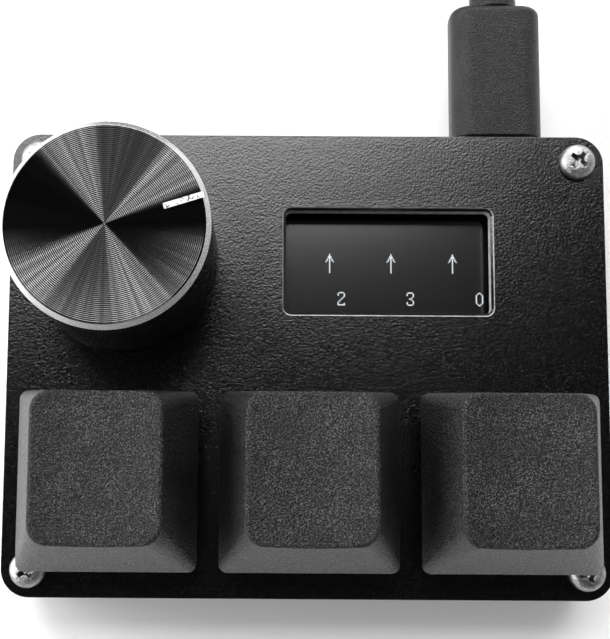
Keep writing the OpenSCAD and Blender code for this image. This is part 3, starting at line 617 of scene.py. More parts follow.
def screen_film(name):
    """The display's dark film with a faint anti-glare grain."""
    m = Mixer(name)
    grain = m.noise(0.12, 2, 0.6)
    tone = m.blend(m.ramp(m.noise(4.0, 2), 0.3, 0.7), (0.002, 0.002, 0.0024), (0.0035, 0.0035, 0.004))
    m.bump(grain, 0.002)
    return m.set(Base_Color=tone, Roughness=m.ramp(grain, 0.3, 0.7, 0.13, 0.17), Specular_IOR_Level=1.0)


def lit_mark(name, colour):
    m = Mixer(name)
    tone = m.blend(m.ramp(m.noise(0.3, 1), 0.3, 0.7), shade(colour, 0.92), colour)
    return m.set(Base_Color=(0.02, 0.02, 0.02), Emission_Color=tone, Emission_Strength=1.0, Roughness=0.4)


def fabric_strap(name):
    """The tie's looped fabric: crossed ribs of yarn."""
    m = Mixer(name)
    x, y, z = m.split(m.place)
    weave = m.ribs((x, 16.0), (m.total(y, z), 12.0))
    fuzz = m.noise(0.12, 3, 0.7)
    tone = m.blend(m.ramp(fuzz, 0.3, 0.7), (0.005, 0.005, 0.0055), (0.018, 0.018, 0.019))
    m.bump(weave, 0.06)
    m.bump(fuzz, 0.05)
    return m.set(Base_Color=tone, Roughness=0.9, Specular_IOR_Level=0.25, Sheen_Weight=0.05,
                 Sheen_Roughness=0.5)


def board_face(name):
    """Dark solder mask with faint tracks beneath it."""
    m = Mixer(name)
    x, y, _ = m.split(m.place)
    tracks = m.ribs((x, 5.2), (y, 1.3))
    tone = m.blend(m.ramp(tracks, 0.45, 0.55), (0.010, 0.045, 0.028), (0.016, 0.075, 0.045))
    m.bump(tracks, 0.02)
    return m.set(Base_Color=tone, Roughness=m.ramp(m.noise(0.8, 3), 0.3, 0.7, 0.25, 0.4), Coat_Weight=0.3)


# ---------------------------------------------------------------- keycaps

CAP_BASE = 18.1
CAP_TOP = (12.5, 14.3)
CAP_SHIFT = 1.16
CAP_Z = 18.45
CAP_H = 9.05
CAP_WALL = 1.2
CAP_ROOF = 1.6
BASE_R = 0.9
TOP_R = 1.9
DISH_REACH = 1.2
DISH_STRIPS = 26
GRAIN_DEPTH = 1.3
POST_R = 2.75
POST_MIDDLE = 4.1
POST_LENGTH = 7.0
CROSS = ((2.03, 0.655), (0.555, 2.03))
CROSS_TOP = 4.35


def cap_section(height, inset=0.0):
    """Width, depth, shift and corner radius of a keycap at a height above its skirt."""
    part = height / CAP_H
    return (CAP_BASE + (CAP_TOP[0] - CAP_BASE) * part - 2 * inset,
            CAP_BASE + (CAP_TOP[1] - CAP_BASE) * part - 2 * inset,
            CAP_SHIFT * part, BASE_R + (TOP_R - BASE_R) * part - inset / 2)


def cap_shell(name, inset, bottom, top, corner_steps):
    """The leaning block of a keycap: a rounded sheet at the skirt and one at the top, bridged."""
    sheets = []
    for height in (bottom, top):
        width, depth, shift, radius = cap_section(height, inset)
        sheet = primitive("plane", name, size=1, location=Vector((0, shift, CAP_Z + height)) * MM)
        sheet.scale = (width * MM, depth * MM, 1)
        corners = {"offset": radius * MM, "segments": corner_steps, "affect": "VERTICES"}
        sheets.append(edit_whole(settle(sheet), bevel=corners))
    return edit_whole(join(sheets, name), bridge_edge_loops={}, normals_make_consistent={"inside": False})


def dish_top(shell, depth, strips):
    """Slices the shell into strips from side to side and sinks its top along the leaning walls."""
    width = CAP_TOP[0]
    for k in range(1, strips):
        choose(shell, "FACE", lambda face: True)
        bpy.ops.mesh.bisect(plane_co=((k / strips - 0.5) * width * MM, 0, 0), plane_no=(1, 0, 0))
    finish_edit()
    radius = width * width / (8 * depth) + depth / 2
    low = CAP_Z + CAP_H - DISH_REACH
    for vertex in shell.data.vertices:
        x, y, z = vertex.co / MM
        if z < low:
            continue
        near = (z - low) / (CAP_Z + CAP_H - low)
        sink = (depth - (radius - math.sqrt(radius * radius - min(abs(x), width / 2) ** 2))) * near
        here_w, here_d, here_shift, _ = cap_section(z - CAP_Z)
        then_w, then_d, then_shift, _ = cap_section(z - CAP_Z - sink)
        y = then_shift + (y - here_shift) * then_d / here_d
        vertex.co = Vector((x * then_w / here_w, y, z - sink)) * MM
    shell.data.update()


def make_keycap(settings, top_grain, shaded_side_grain):
    """One keycap at the middle of the row: outer shell with its dish and rim, inner walls and post."""
    outer = cap_shell("keycap_outer", 0, 0, CAP_H, 8)
    round_edges(outer, at_level(CAP_Z + CAP_H), settings.rim / MM, 5)
    dish_top(outer, settings.dish / MM, DISH_STRIPS)
    inner = cap_shell("keycap_inner", CAP_WALL, 0, CAP_H - CAP_ROOF, 4)
    cut(outer, shift_down(inner))
    post = rod("keycap_post", (0, 0, CAP_Z + POST_MIDDLE), POST_R, POST_LENGTH)
    for x, y in CROSS:
        cut(post, block("cross", (-x, -y, 10), (x, y, CAP_Z + CROSS_TOP)))
    cap = smooth(join([outer, post], "keycap"), 32)
    # the sides wear the darker copy of the plastic, which is painted shade
    wear(cap, shaded_side_grain)
    wear(cap, top_grain,
         lambda face: face.normal.z > 0.6 and face.center.z > (CAP_Z + CAP_H - GRAIN_DEPTH) * MM)
    return cap


def shift_down(inner):
    """Runs the inner walls a little past the skirt, so that they open it cleanly."""
    choose(inner, "VERT", lambda vertex: vertex.co.z < (CAP_Z + 1) * MM)
    bpy.ops.transform.translate(value=(0, 0, -0.2 * MM))
    finish_edit()
    return inner


# ---------------------------------------------------------------- marks on the display

ARROW = ("...#...",) * 2 + ("..###..",) * 2 + (".#.#.#.",) * 2 + ("#..#..#",) + ("...#...",) * 9
DIGITS = {
    "2": "..#### .#....# .#....# ......# .....# ....# ...# ..# .# .#....# .######".split(),
    "3": "..#### .#....# .#....# ......# .....# ...## .....# ......# .#....# .#....# ..####".split(),
    "0": ["...##", "..#..#", *[".#....#"] * 7, "..#..#", "...##"],
}
ARROW_TOPS = [(2.53, 12.48), (9.30, 12.48), (16.10, 12.48)]
DIGIT_CORNERS = [("2", (3.40, 8.20)), ("3", (11.0, 8.20)), ("0", (18.62, 8.20))]


def lit_rows(rows, left, top, pitch):
    """(x, y, width) of each run of lit pixels, so that a run is one bar."""
    bars = []
    for j, row in enumerate(rows):
        i = 0
        while i < len(row):
            if row[i] == "#":
                start = i
                while i < len(row) and row[i] == "#":
                    i += 1
                bars.append((left + start * pitch, top - j * pitch, (i - start) * pitch))
            else:
                i += 1
    return bars


# ---------------------------------------------------------------- the cable's line

CORD_START = Vector((PORT_X, 40.3, 0))
RUN_ROUTE = [
    (0, 0, 9.1), (0, 3.7, 9.1), (0, 7.7, 9.1), (0, 11.7, 9.1), (0, 14.7, 9), (0, 17.7, 8.6),
    (0, 20.7, 7.8), (0, 23.7, 6.7), (0, 26.7, 5.4), (0, 29.7, 4.2), (0, 32.7, 3.3), (0, 35.7, 2.75),
    (0, 37.7, 2.6), (0, 39.7, 2.6)]
TAIL_ROUTE = [
    (0, 47.7, 7.1), (0, 50.7, 7.1), (0, 53.7, 6.8), (0, 56.7, 6.2), (0, 59.7, 5.4), (0, 62.7, 4.7),
    (0, 65.7, 4.2), (0, 68.7, 4), (0, 71.7, 4), (0, 79.7, 4)]
COIL_TURNS = 7
COIL_STEP = 4.5
COIL_OUT_R = 28.875
COIL_Y = 43.7
COIL_Z = 2.6
COIL_RINGS = 60


def coil_point(turn):
    """A point of the coil: in along the lower layer, up, and out along the upper one."""
    radius = COIL_OUT_R - COIL_STEP * min(turn, COIL_TURNS - turn)
    climb = max(0.0, min(1.0, 2 * (turn - COIL_TURNS / 2 + 0.25)))
    angle = 2 * math.pi * turn
    return Vector((-COIL_OUT_R + radius * math.cos(angle), COIL_Y + radius * math.sin(angle),
                   COIL_Z + COIL_STEP * (1 - math.cos(math.pi * climb)) / 2))


def smooth_line(points, steps):
    """A line with steps pieces between each two points, rounded through them."""
    points = [Vector(p) for p in points]
    padded = [2 * points[0] - points[1], *points, 2 * points[-1] - points[-2]]
    line = []
    for a, b, c, d in zip(padded, padded[1:], padded[2:], padded[3:]):
        for k in range(steps):
            t = k / steps
            line.append(0.5 * (2 * b + (c - a) * t + (2 * a - 5 * b + 4 * c - d) * t ** 2
                               + (3 * b - a - 3 * c + d) * t ** 3))
    return [*line, points[-1]]


def cable_line():
    coil = [coil_point(k / COIL_RINGS) for k in range(COIL_TURNS * COIL_RINGS + 1)]
    line = smooth_line(RUN_ROUTE, 3) + coil + smooth_line(TAIL_ROUTE, 3)
    return [(CORD_START + p) * MM for p in line]


# ---------------------------------------------------------------- operators


class KEYPAD_OT_stage(bpy.types.Operator):
    """Sets up the camera, the plain floor, the soft lamps and the sky"""

    bl_idname = "keypad.stage"
    bl_label = "Set the stage"

    FOCAL_PX = 1173.0
    FRAME_PX = (610, 639)
    OPTICAL_PX = (263.09, 365.20)
    MIRRORED = (-0.136, 0.228)
    RIGHT_LAMP = (24, 53)
    LEFT_LAMP = (97, 131.5)
    LAMP_REACH = (0.28, 0.50)
    CAMERA_PLACE = (-4.4191, -14.5353, 136.8613)
    CAMERA_AXES = ((0.99997756, -0.00617567, 0.00259474), (0.00643018, 0.99352314, -0.11344793),
                   (-0.00187731, 0.11346207, 0.99354056))

    def camera(self):
        data = bpy.data.cameras.new("camera")
        data.sensor_width = 36
        long_side = max(self.FRAME_PX)
        data.lens = self.FOCAL_PX / long_side * data.sensor_width
        data.shift_x = (self.FRAME_PX[0] / 2 - self.OPTICAL_PX[0]) / long_side
        data.shift_y = (self.OPTICAL_PX[1] - self.FRAME_PX[1] / 2) / long_side
        data.clip_start, data.clip_end = 0.005, 20
        camera = linked("camera", data)
        place = Matrix(self.CAMERA_AXES).to_4x4()
        place.translation = Vector(self.CAMERA_PLACE) * MM
        camera.matrix_world = place
        bpy.context.scene.camera = camera

    def lamp(self, name, place, aim, size, power):
        data = bpy.data.lights.new(name, "AREA")
        data.shape = "RECTANGLE"
        data.size, data.size_y = size
        data.energy = power
        lamp = linked(name, data)
        lamp.location = place
        lamp.rotation_mode = "QUATERNION"
        lamp.rotation_quaternion = (Vector(aim) - Vector(place)).to_track_quat("-Z", "Y")

    def sky(self, settings):
        """A dim top with two soft lamps at its back, over a pale horizon.

        Directions are taken on the flat disc that looks up at the sky. Each lamp is a sector of it about the
        direction that the dial's face mirrors, so that a lamp lights one clean pair of wedges on the dial.
        """
        world = bpy.data.worlds.new("sky")
        bpy.context.scene.world = world
        g = Graph(world)
        x, y, z = g.split(g.add("ShaderNodeTexCoord").outputs["Generated"])
        from_x, from_y = (g.math("SUBTRACT", value, middle) for value, middle in zip((x, y), self.MIRRORED))
        reach = g.far_from(from_x, from_y)
        turn = g.math("DEGREES", g.math("ARCTAN2", from_y, from_x))
        up = g.ramp(z, 0.0, 0.02)

        def sector(first, last, soft=0.7):
            near, far = self.LAMP_REACH
            return g.product(g.ramp(turn, first - soft, first + soft),
                             g.ramp(turn, last - soft, last + soft, 1, 0),
                             g.ramp(reach, near - 0.02, near + 0.02),
                             g.ramp(reach, far - 0.03, far + 0.03, 1, 0), up)

        right = g.product(sector(*self.RIGHT_LAMP), settings.right_lamp)
        left = g.product(sector(*self.LEFT_LAMP), settings.left_lamp)
        between = g.product(sector(self.RIGHT_LAMP[1], self.LEFT_LAMP[0]), settings.left_lamp * 0.25)
        near = g.product(g.ramp(y, 0.255, 0.29), g.ramp(x, 0.12, 0.19, 1, 0),
                         g.ramp(reach, 0.25, 0.31, 1, 0), up, settings.near_lamp)
        leaning = g.total(g.product(x, -0.33), g.product(y, 0.47), 0.85)
        horizon = g.product(g.ramp(z, 0.6, 0.46), leaning, settings.horizon)
        background = g.add("ShaderNodeBackground", {"Color": (1, 1, 1, 1)})
        g.link(g.total(right, left, between, near, horizon, settings.top), background, "Strength")
        out = g.add("ShaderNodeOutputWorld")
        g.link(background.outputs["Background"], out, "Surface")

    def execute(self, context):
        settings = context.scene.keypad_stage
        context.scene.view_settings.view_transform = "Standard"
        self.camera()
        self.lamp("side_lamp", (-0.6, 0.05, 0.28), (-0.14, 0, 0), (0.7, 0.4), settings.side_lamp)
        self.lamp("back_lamp", (0.05, 0.6, 0.28), (0, 0.1, 0), (0.9, 0.4), settings.back_lamp)
        self.sky(settings)
        floor = primitive("plane", "floor", size=6, location=(0, 0, 0))
        m = Mixer("floor_paper")
        colour = tuple(settings.floor)
        tone = m.blend(m.ramp(m.noise(40, 2), 0.3, 0.7), shade(colour, 0.995), colour)
        m.bump(m.noise(0.6, 2), 0.01)
        wear(floor, m.set(Base_Color=tone, Roughness=0.9, Specular_IOR_Level=0.2))
        return {"FINISHED"}


class KEYPAD_OT_cable(bpy.types.Operator):
    """Lays the cable along its coil and makes the plugs, reliefs and ties on it"""

    bl_idname = "keypad.cable"
    bl_label = "Make the cable"

    def jacket(self, settings):
        m = Mixer("cable_jacket")
        fine = m.noise(0.18, 2, 0.6)
        tone = m.blend(m.ramp(m.noise(9, 3), 0.3, 0.7), (0.016, 0.016, 0.017), (0.028, 0.028, 0.03))
        m.bump(fine, 0.01)
        finish = m.set(Base_Color=tone, Roughness=m.ramp(fine, 0.3, 0.7, 0.42, 0.55))
        data = bpy.data.curves.new("cable", "CURVE")
        data.dimensions = "3D"
        data.bevel_depth = settings.diameter / 2
        data.bevel_resolution = 6
        data.use_fill_caps = True
        line = cable_line()
        spline = data.splines.new("POLY")
        spline.points.add(len(line) - 1)
        for point, place in zip(spline.points, line):
            point.co = (*place, 1)
        spline.use_smooth = True
        cable = linked("cable", data)
        data.materials.append(finish)
        return belongs(cable, CASE, "cable_jacket", "cable_run", "cable_coil", "cable_tail")

    def relief(self, name, node, start, length, way, finish):
        """A tapered sleeve round the cable with shallow grooves, from start along Y by way."""
        bore, thick, taper, groove = 2.03, 2.6, 0.25, 0.22
        profile = [(bore, 0.0), (thick - 0.15, 0.0), (thick, 0.15)]
        for k in range(6):
            h = 2.6 + 1.35 * k
            r = thick - taper * h / length
            if h < length - 1.2:
                profile += [(r, h), (r - groove, h + 0.1), (r - groove, h + 0.55), (r, h + 0.65)]
        profile += [(2.36, length - 0.2), (2.2, length), (bore, length), (bore, 0.0)]
        sleeve = lathe(name, [(r, way * h) for r, h in profile], start, 40, "Y")
        soften(sleeve, 0.05, 2)
        wear(sleeve, finish)
        return belongs(sleeve, CASE, "mold_plastic", node)

    def molded(self, name, node, finish, radius, taper_end):
        """A molded plug body, rounded along its length and at its cable end."""
        low, high = extent(node)
        body = slab(name, low, high, radius, 8, axis=1)
        end = high.y if taper_end > 0 else low.y
        round_edges(body, at_level(end, axis=1), 0.85, 6)
        soften(body, 0.12, 2, 30)
        wear(body, finish)
        return belongs(body, CASE, "mold_plastic", node)

    def execute(self, context):
        settings = context.scene.keypad_cable
        cable = self.jacket(settings)
        # the plug's grain carries painted highlight on its peaks and painted shade in its dips
        finish = grained("molded_plug", (0.0042, 0.0042, 0.0043), 0.15, (0.45, 0.78), 14, 0.12,
                         (0.34, 0.24), 0.28)
        plug = self.molded("plug_body", "plug_overmold", finish, 2.35, 1)
        far = self.molded("far_plug_body", "host_overmold", finish, 2.4, -1)
        low, high = extent("strain_relief")
        near_relief = self.relief("plug_relief", "strain_relief", (PORT_X, low.y, PORT_Z), high.y - low.y, 1,
                                  finish)
        low, high = extent("host_relief")
        far_relief = self.relief("far_relief", "host_relief", (PORT_X, high.y, FAR_Z), high.y - low.y, -1,
                                 finish)
        plated = metal("plug_plating", (0.62, 0.62, 0.64), (0.18, 0.3), 0.3, 0.002, 0.12, (1, 0.08, 1))
        shell = softened_copy("host_shell", "far_plug_shell", 0.08)
        wear(shell, plated)
        belongs(shell, CASE, "plug_metal", "host_shell")
        ties = softened_copy("cable_ties", "coil_ties", 0.12)
        wear(ties, fabric_strap("tie_fabric"))
        belongs(ties, CASE, "tie_black", "cable_ties")
        dress("plug_shell", plated)
        dress("plug_insert", moulded("contact_carrier", (0.02, 0.02, 0.02), (0.35, 0.5)))
        dress("host_insert", moulded("white_carrier", (0.7, 0.7, 0.7), (0.3, 0.4), 0.4, 0.003, 0.04))
        return {"FINISHED"}


class KEYPAD_OT_case(bpy.types.Operator):
    """Makes the two coated plates, the frame's finish, the screws and the rubber feet"""

    bl_idname = "keypad.case"
    bl_label = "Make the case"

    KEY_HOLE = 14.0
    DIAL_HOLE = (13.6, 12.5)
    WINDOW_SIZE = (22.1, 11.2)
    WINDOW_CHAMFER = 0.3
    SCREW_HOLE_R = 1.1
    SCREW_TURNS = (38, 75, 12, 52)
    SCREW_PROFILE = [(0, -5.0), (0.8, -5.0), (1.0, -4.8), (1.0, 0.0), (1.72, 0.0), (1.9, 0.14), (1.9, 0.46),
                     (1.84, 0.72), (1.66, 0.98), (1.38, 1.17), (1.0, 1.28), (0.5, 1.33), (0, 1.35)]
    RECESS = ((-1.1, -0.26, 0.45), (1.1, 0.26, 1.45))
    RECESS_TAPER = (0.45, 0.8, 1)
    RECESS_MIDDLE = [(0, 0.55), (0.3, 0.55), (0.62, 1.5), (0, 1.5)]
    COUNTERSINK = [(0, -0.2), (1.97, -0.2), (1.97, 0.0), (1.1, 1.03), (1.1, 2.0), (0, 2.0)]
    FOOT_PROFILE = [(0, 0.25), (3.0, 0.25), (3.2, 0.0), (3.7, 0.0), (3.92, 0.12), (4.0, 0.35), (4.0, 1.2),
                    (3.9, 1.5), (0, 1.5)]

    def opening(self, plate, middle, size, radius, segments):
        """Cuts a rounded rectangle of a size right through the plate."""
        low, high = extent("top_plate")
        (x, y), (w, d) = middle, size
        cut(plate, slab("opening", (x - w / 2, y - d / 2, low.z - 1), (x + w / 2, y + d / 2, high.z + 1),
                        radius, segments))

    def top_plate(self, settings, coat, wall_coat, worn):
        low, high = extent("top_plate")
        plate = slab("deck_plate", low, high, settings.corner / MM, 12)
        for i in (-1, 0, 1):
            self.opening(plate, (i * KEY_PITCH, KEY_ROW_Y), (self.KEY_HOLE, self.KEY_HOLE), 0.3, 3)
        self.opening(plate, DIAL.xy, self.DIAL_HOLE, 0.5, 4)
        for x, y in SCREWS:
            cut(plate, rod("screw_hole", (x, y, high.z), self.SCREW_HOLE_R, 6, 32))
        self.opening(plate, WINDOW.xy, self.WINDOW_SIZE, 0.6, 6)
        at_top = at_level(high.z)
        round_edges(plate, lambda a, b: at_top(a, b) and self.in_window(a) and self.in_window(b),
                    self.WINDOW_CHAMFER, 1)
        soften(plate, settings.edge / MM, 3, 40)
        wear(plate, coat)
        wear(plate, wall_coat, lambda face: abs(face.normal.z) < 0.3 and self.in_window(face.center / MM))
        wear(plate, worn, lambda face: 0.72 < face.normal.z < 0.995 and self.in_window(face.center / MM))
        belongs(plate, CASE, "coated_metal", "top_plate")

    def in_window(self, place, margin=0.5):
        """Whether a place in millimetres lies in the display window or close round it."""
        return all(abs(place[k] - WINDOW[k]) < self.WINDOW_SIZE[k] / 2 + margin for k in (0, 1))

    def bottom_plate(self, settings, coat):
        low, high = extent("bottom_plate")
        plate = slab("base_plate", low, high, settings.corner / MM, 12)
        for x, y in SCREWS:
            cut(plate, lathe("countersink", self.COUNTERSINK, (x, y, low.z), 32))
        soften(plate, settings.edge / MM, 3, 40)
        wear(plate, coat)
        belongs(plate, CASE, "coated_metal", "bottom_plate")

    def screws(self):
        """Four pan heads, each with its worn cross, whose walls carry painted shade, and its shank."""
        steel = metal("screw_plating", (0.5, 0.5, 0.505), (0.32, 0.5), 0.3, 0.09, 0.6)
        # painted shade: the cross recess's walls take a darker copy of the plating
        dark = metal("screw_recess_painted_shade", (0.16, 0.16, 0.16), (0.35, 0.6), 0.12, 0.02, 0.5)
        made = []
        for (x, y), turn in zip(SCREWS, self.SCREW_TURNS):
            head = lathe("screw", self.SCREW_PROFILE, (x, y, PLATE_TOP), 48)
            for angle in (turn, turn + 90):
                bar = block("recess", *self.RECESS)
                choose(bar, "VERT", lambda v: v.co.z < 1.0 * MM)
                bpy.ops.transform.resize(value=self.RECESS_TAPER)
                finish_edit()
                bar.rotation_euler.z = math.radians(angle)
                bar.location = Vector((x, y, PLATE_TOP)) * MM
                cut(head, settle(bar))
            cut(head, lathe("recess_middle", self.RECESS_MIDDLE, (x, y, PLATE_TOP), 16))
            soften(head, 0.03, 2, 40)
            wear(head, steel)
            # the cross recess's walls wear the painted shade
            wear(head, dark, lambda face, x=x, y=y: (
                face.normal.z < 0.75 and face.center.z > (PLATE_TOP + 0.4) * MM
                and math.hypot(face.center.x / MM - x, face.center.y / MM - y) < 1.12))
            made.append(head)
        belongs(join(made, "deck_screws"), CASE, "screw_steel", "top_screws")

    def feet(self):
        rubber = moulded("foot_rubber", (0.022, 0.022, 0.022), (0.7, 0.85), 0.3, 0.03, 0.2)
        made = [soften(lathe("foot", self.FOOT_PROFILE, (x, y, 0), 56), 0, 1, 40) for x, y in FEET]
        belongs(wear(join(made, "feet"), rubber), CASE, "foot_rubber", "rubber_feet")

    def execute(self, context):
        settings = context.scene.keypad_case
        coat = orange_peel("textured_coat", tuple(settings.coat))
        wall = moulded("window_wall", (0.55, 0.55, 0.555), (0.3, 0.4), 0.25, 0.02, 0.3, 0.8)
        worn = metal("worn_edge", (0.3, 0.3, 0.3), (0.35, 0.5), 0.3, 0.01, 0.6)
        self.top_plate(settings, coat, wall, worn)
        self.bottom_plate(settings, coat)
        dress("case_frame", coat)
        self.screws()
        dress("bottom_screws", metal("black_oxide", (0.05, 0.05, 0.05), (0.35, 0.5), 0.2, 0.006, 0.3))
        self.feet()
        return {"FINISHED"}


class KEYPAD_OT_keys(bpy.types.Operator):
    """Makes the keycaps, the switch housings and the wound springs, and finishes the inner pieces"""

    bl_idname = "keypad.keys"
    bl_label = "Make the keys"

    TRAVEL = 4.0
    WIRE = 0.3
    CURLS = 8
    FOOT_GAP = 0.02

    def spring(self):
        """One spring round the origin's upright axis: a ring of wire wound up to its height."""
        low, high = extent("key_spring_2")
        radius = (high.x - low.x - self.WIRE) / 2
        ring = primitive("circle", "spring", vertices=10, radius=self.WIRE / 2 * MM,
                         rotation=(math.pi / 2, 0, 0), location=Vector((radius, 0, low.z + self.WIRE / 2)) * MM)
        spring = wind(settle(ring), 32, self.CURLS, (high.z - low.z - self.WIRE) / self.CURLS)
        bpy.ops.object.shade_smooth_by_angle(angle=math.radians(60))
        return spring

    def execute(self, context):
        settings = context.scene.keypad_keycap
        plastic = tuple(settings.plastic)
        # the keycap tops' grain carries painted highlight on its peaks and painted shade in its dips
        top_grain = grained("keycap_top_grain_and_painted_glints", plastic, 0.16, (0.46, 0.76), 16, 0.19, (0.32, 0.22), 0.24)
        # painted shade: the keycaps' sides take a darker copy of their plastic, 0.6 of its colour, with a
        # smaller gain than the top
        shaded_side_grain = grained("keycap_side_grain_painted_shade", shade(plastic, 0.6), 0.22, (0.42, 0.78), 12, 0.22,
                             (0.4, 0.28), 0.5)
        cap = make_keycap(settings, top_grain, shaded_side_grain)
        for i in (1, 2, 3):
            piece = copy_moved(cap, f"keycap_shell_{i}", ((i - 2) * KEY_PITCH, KEY_ROW_Y, 0))
            belongs(piece, f"key_{i}", "keycap_plastic", f"keycap_{i}")
        bpy.data.objects.remove(cap)
        housing = moulded("switch_housing", (0.024, 0.024, 0.025), (0.3, 0.42), 0.2, 0.006, 0.1)
        stem = moulded("stem_red", (0.42, 0.02, 0.02), (0.28, 0.4), 0.2, 0.004, 0.1)
        wire = metal("spring_wire", (0.75, 0.6, 0.32), (0.2, 0.35), 0.2, 0.003, 0.2)
        copper = metal("contact_leaf", (0.72, 0.42, 0.24), (0.25, 0.4), 0.2, 0.004, 0.3)
        spring = wear(self.spring(), wire)
        for i in (1, 2, 3):
            for node, width in ((f"switch_cover_{i}", 0.1), (f"switch_base_{i}", 0.05)):
                piece = softened_copy(node, node.replace("switch", "housing"), width)
                wear(piece, housing)
                belongs(piece, CASE, "switch_black", node)
            dress(f"key_stem_{i}", stem)
            dress(f"switch_contacts_{i}", copper)
            coil = copy_moved(spring, f"wound_spring_{i}", ((i - 2) * KEY_PITCH, KEY_ROW_Y, 0))
            belongs(coil, CASE, "spring_gold", f"key_spring_{i}")
            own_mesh(coil)
        bpy.data.objects.remove(spring)
        dress("switch_sockets", housing)
        return {"FINISHED"}


class KEYPAD_OT_dial(bpy.types.Operator):
    """Turns the dial's shell with its ringed face and finishes the encoder under it"""

    bl_idname = "keypad.dial"
    bl_label = "Make the dial"

    RADIUS = 10.05
    BOTTOM = 13.4
    TOP = 28.9
    CHAMFER = 0.46
    FOOT_CHAMFER = 0.3
    WALL = 1.25
    ROOF = 2.0
    POINTER_ANGLE = 17.4
    POINTER_START = 5.75
    POINTER_WIDTH = 0.62
    POINTER_DEPTH = 0.25
    RING_DEPTH = 0.018

    def face_radius(self):
        return self.RADIUS - self.CHAMFER - 0.12

    def profile(self, rings):
        """Out along the ringed face, down the side and up inside."""
        face = self.face_radius()
        pitch = face / rings
        line = [(0, self.TOP - self.RING_DEPTH)]
        for k in range(rings):
            line += [((k + 0.5) * pitch, self.TOP), ((k + 1) * pitch, self.TOP - self.RING_DEPTH)]
        line += [(face + 0.06, self.TOP), (self.RADIUS - self.CHAMFER, self.TOP),
                 (self.RADIUS - self.CHAMFER / 2, self.TOP - self.CHAMFER / 2),
                 (self.RADIUS, self.TOP - self.CHAMFER), (self.RADIUS, self.TOP - self.CHAMFER - 0.05)]
        middle = (self.TOP + self.BOTTOM) / 2
        line += [(self.RADIUS, middle), (self.RADIUS, self.BOTTOM + self.FOOT_CHAMFER),
                 (self.RADIUS - self.FOOT_CHAMFER, self.BOTTOM), (self.RADIUS - self.WALL, self.BOTTOM),
                 (self.RADIUS - self.WALL, self.TOP - self.ROOF), (0, self.TOP - self.ROOF)]
        return line

    def pointer_block(self, name, inset, floor, top):
        half = self.POINTER_WIDTH / 2 - inset
        bar = block(name, (self.POINTER_START + inset, -half, floor), (self.RADIUS + 0.5, half, top))
        bar.rotation_euler.z = math.radians(self.POINTER_ANGLE)
        bar.location = DIAL * MM
        return settle(bar)

    def execute(self, context):
        settings = context.scene.keypad_dial
        shell = lathe("dial_shell", self.profile(settings.rings), DIAL, 192)
        cut(shell, self.pointer_block("pointer_cut", 0, self.TOP - self.POINTER_DEPTH, self.TOP + 1))
        pick(shell)
        bpy.ops.object.shade_smooth_by_angle(angle=math.radians(14))
        side = moulded("dial_side", (0.010, 0.010, 0.0105), (0.22, 0.28), 0.3, 0.0006, 0.1)
        face = spun_face("dial_face", tuple(settings.face), self.face_radius() / settings.rings)
        bright = metal("dial_chamfer", tuple(settings.bright), (0.2, 0.3), 0.15, 0.002, 0.08)
        wear(shell, side)

        def radius_of(point):
            return math.hypot(point.x / MM - DIAL.x, point.y / MM - DIAL.y)

        face_edge = self.RADIUS - self.CHAMFER - 0.01
        wear(shell, face, lambda f: f.center.z > (self.TOP - 0.3) * MM and radius_of(f.center) < face_edge)
        wear(shell, bright, lambda f: radius_of(f.center) >= face_edge and (
            f.center.z > (self.TOP - self.CHAMFER - 0.02) * MM
            or f.center.z < (self.BOTTOM + self.FOOT_CHAMFER) * MM and f.normal.z < -0.3
            and radius_of(f.center) > self.RADIUS - self.FOOT_CHAMFER))
        belongs(shell, "dial", "knob_metal", "knob_shell")
        paint = self.pointer_block("pointer", 0.01, self.TOP - self.POINTER_DEPTH, self.TOP - 0.05)
        near, far, low, high = self.RADIUS - 0.25, self.RADIUS + 2, 28, 30
        trim = [(near, low), (far, low), (far, high), (near, high), (near, low)]
        cut(paint, lathe("pointer_trim", trim, DIAL, 96))
        soften(paint, 0.04, 2)
        wear(paint, paint_line("pointer_paint"))
        belongs(paint, "dial", "knob_metal")
        dress("knob_core", moulded("core_plastic", (0.03, 0.03, 0.03), (0.4, 0.55)))
        dress("encoder_shaft", metal("shaft_metal", (0.6, 0.6, 0.61), (0.2, 0.35), 0.15, 0.004, 0.15,
                                     (1, 1, 0.1)))
        dress("encoder_bush", metal("bush_zinc", (0.5, 0.5, 0.51), (0.35, 0.5), 0.2, 0.01, 0.2))
        dress("encoder_clip detent_spring encoder_pins push_dome",
              metal("tinned_steel", (0.65, 0.65, 0.66), (0.25, 0.4), 0.2, 0.004, 0.15))
        dress("encoder_base", moulded("encoder_body", (0.035, 0.03, 0.028), (0.4, 0.55)))
        dress("encoder_rotor", moulded("rotor_plastic", (0.7, 0.66, 0.58), (0.4, 0.5), 0.2, 0.005, 0.05))
        return {"FINISHED"}


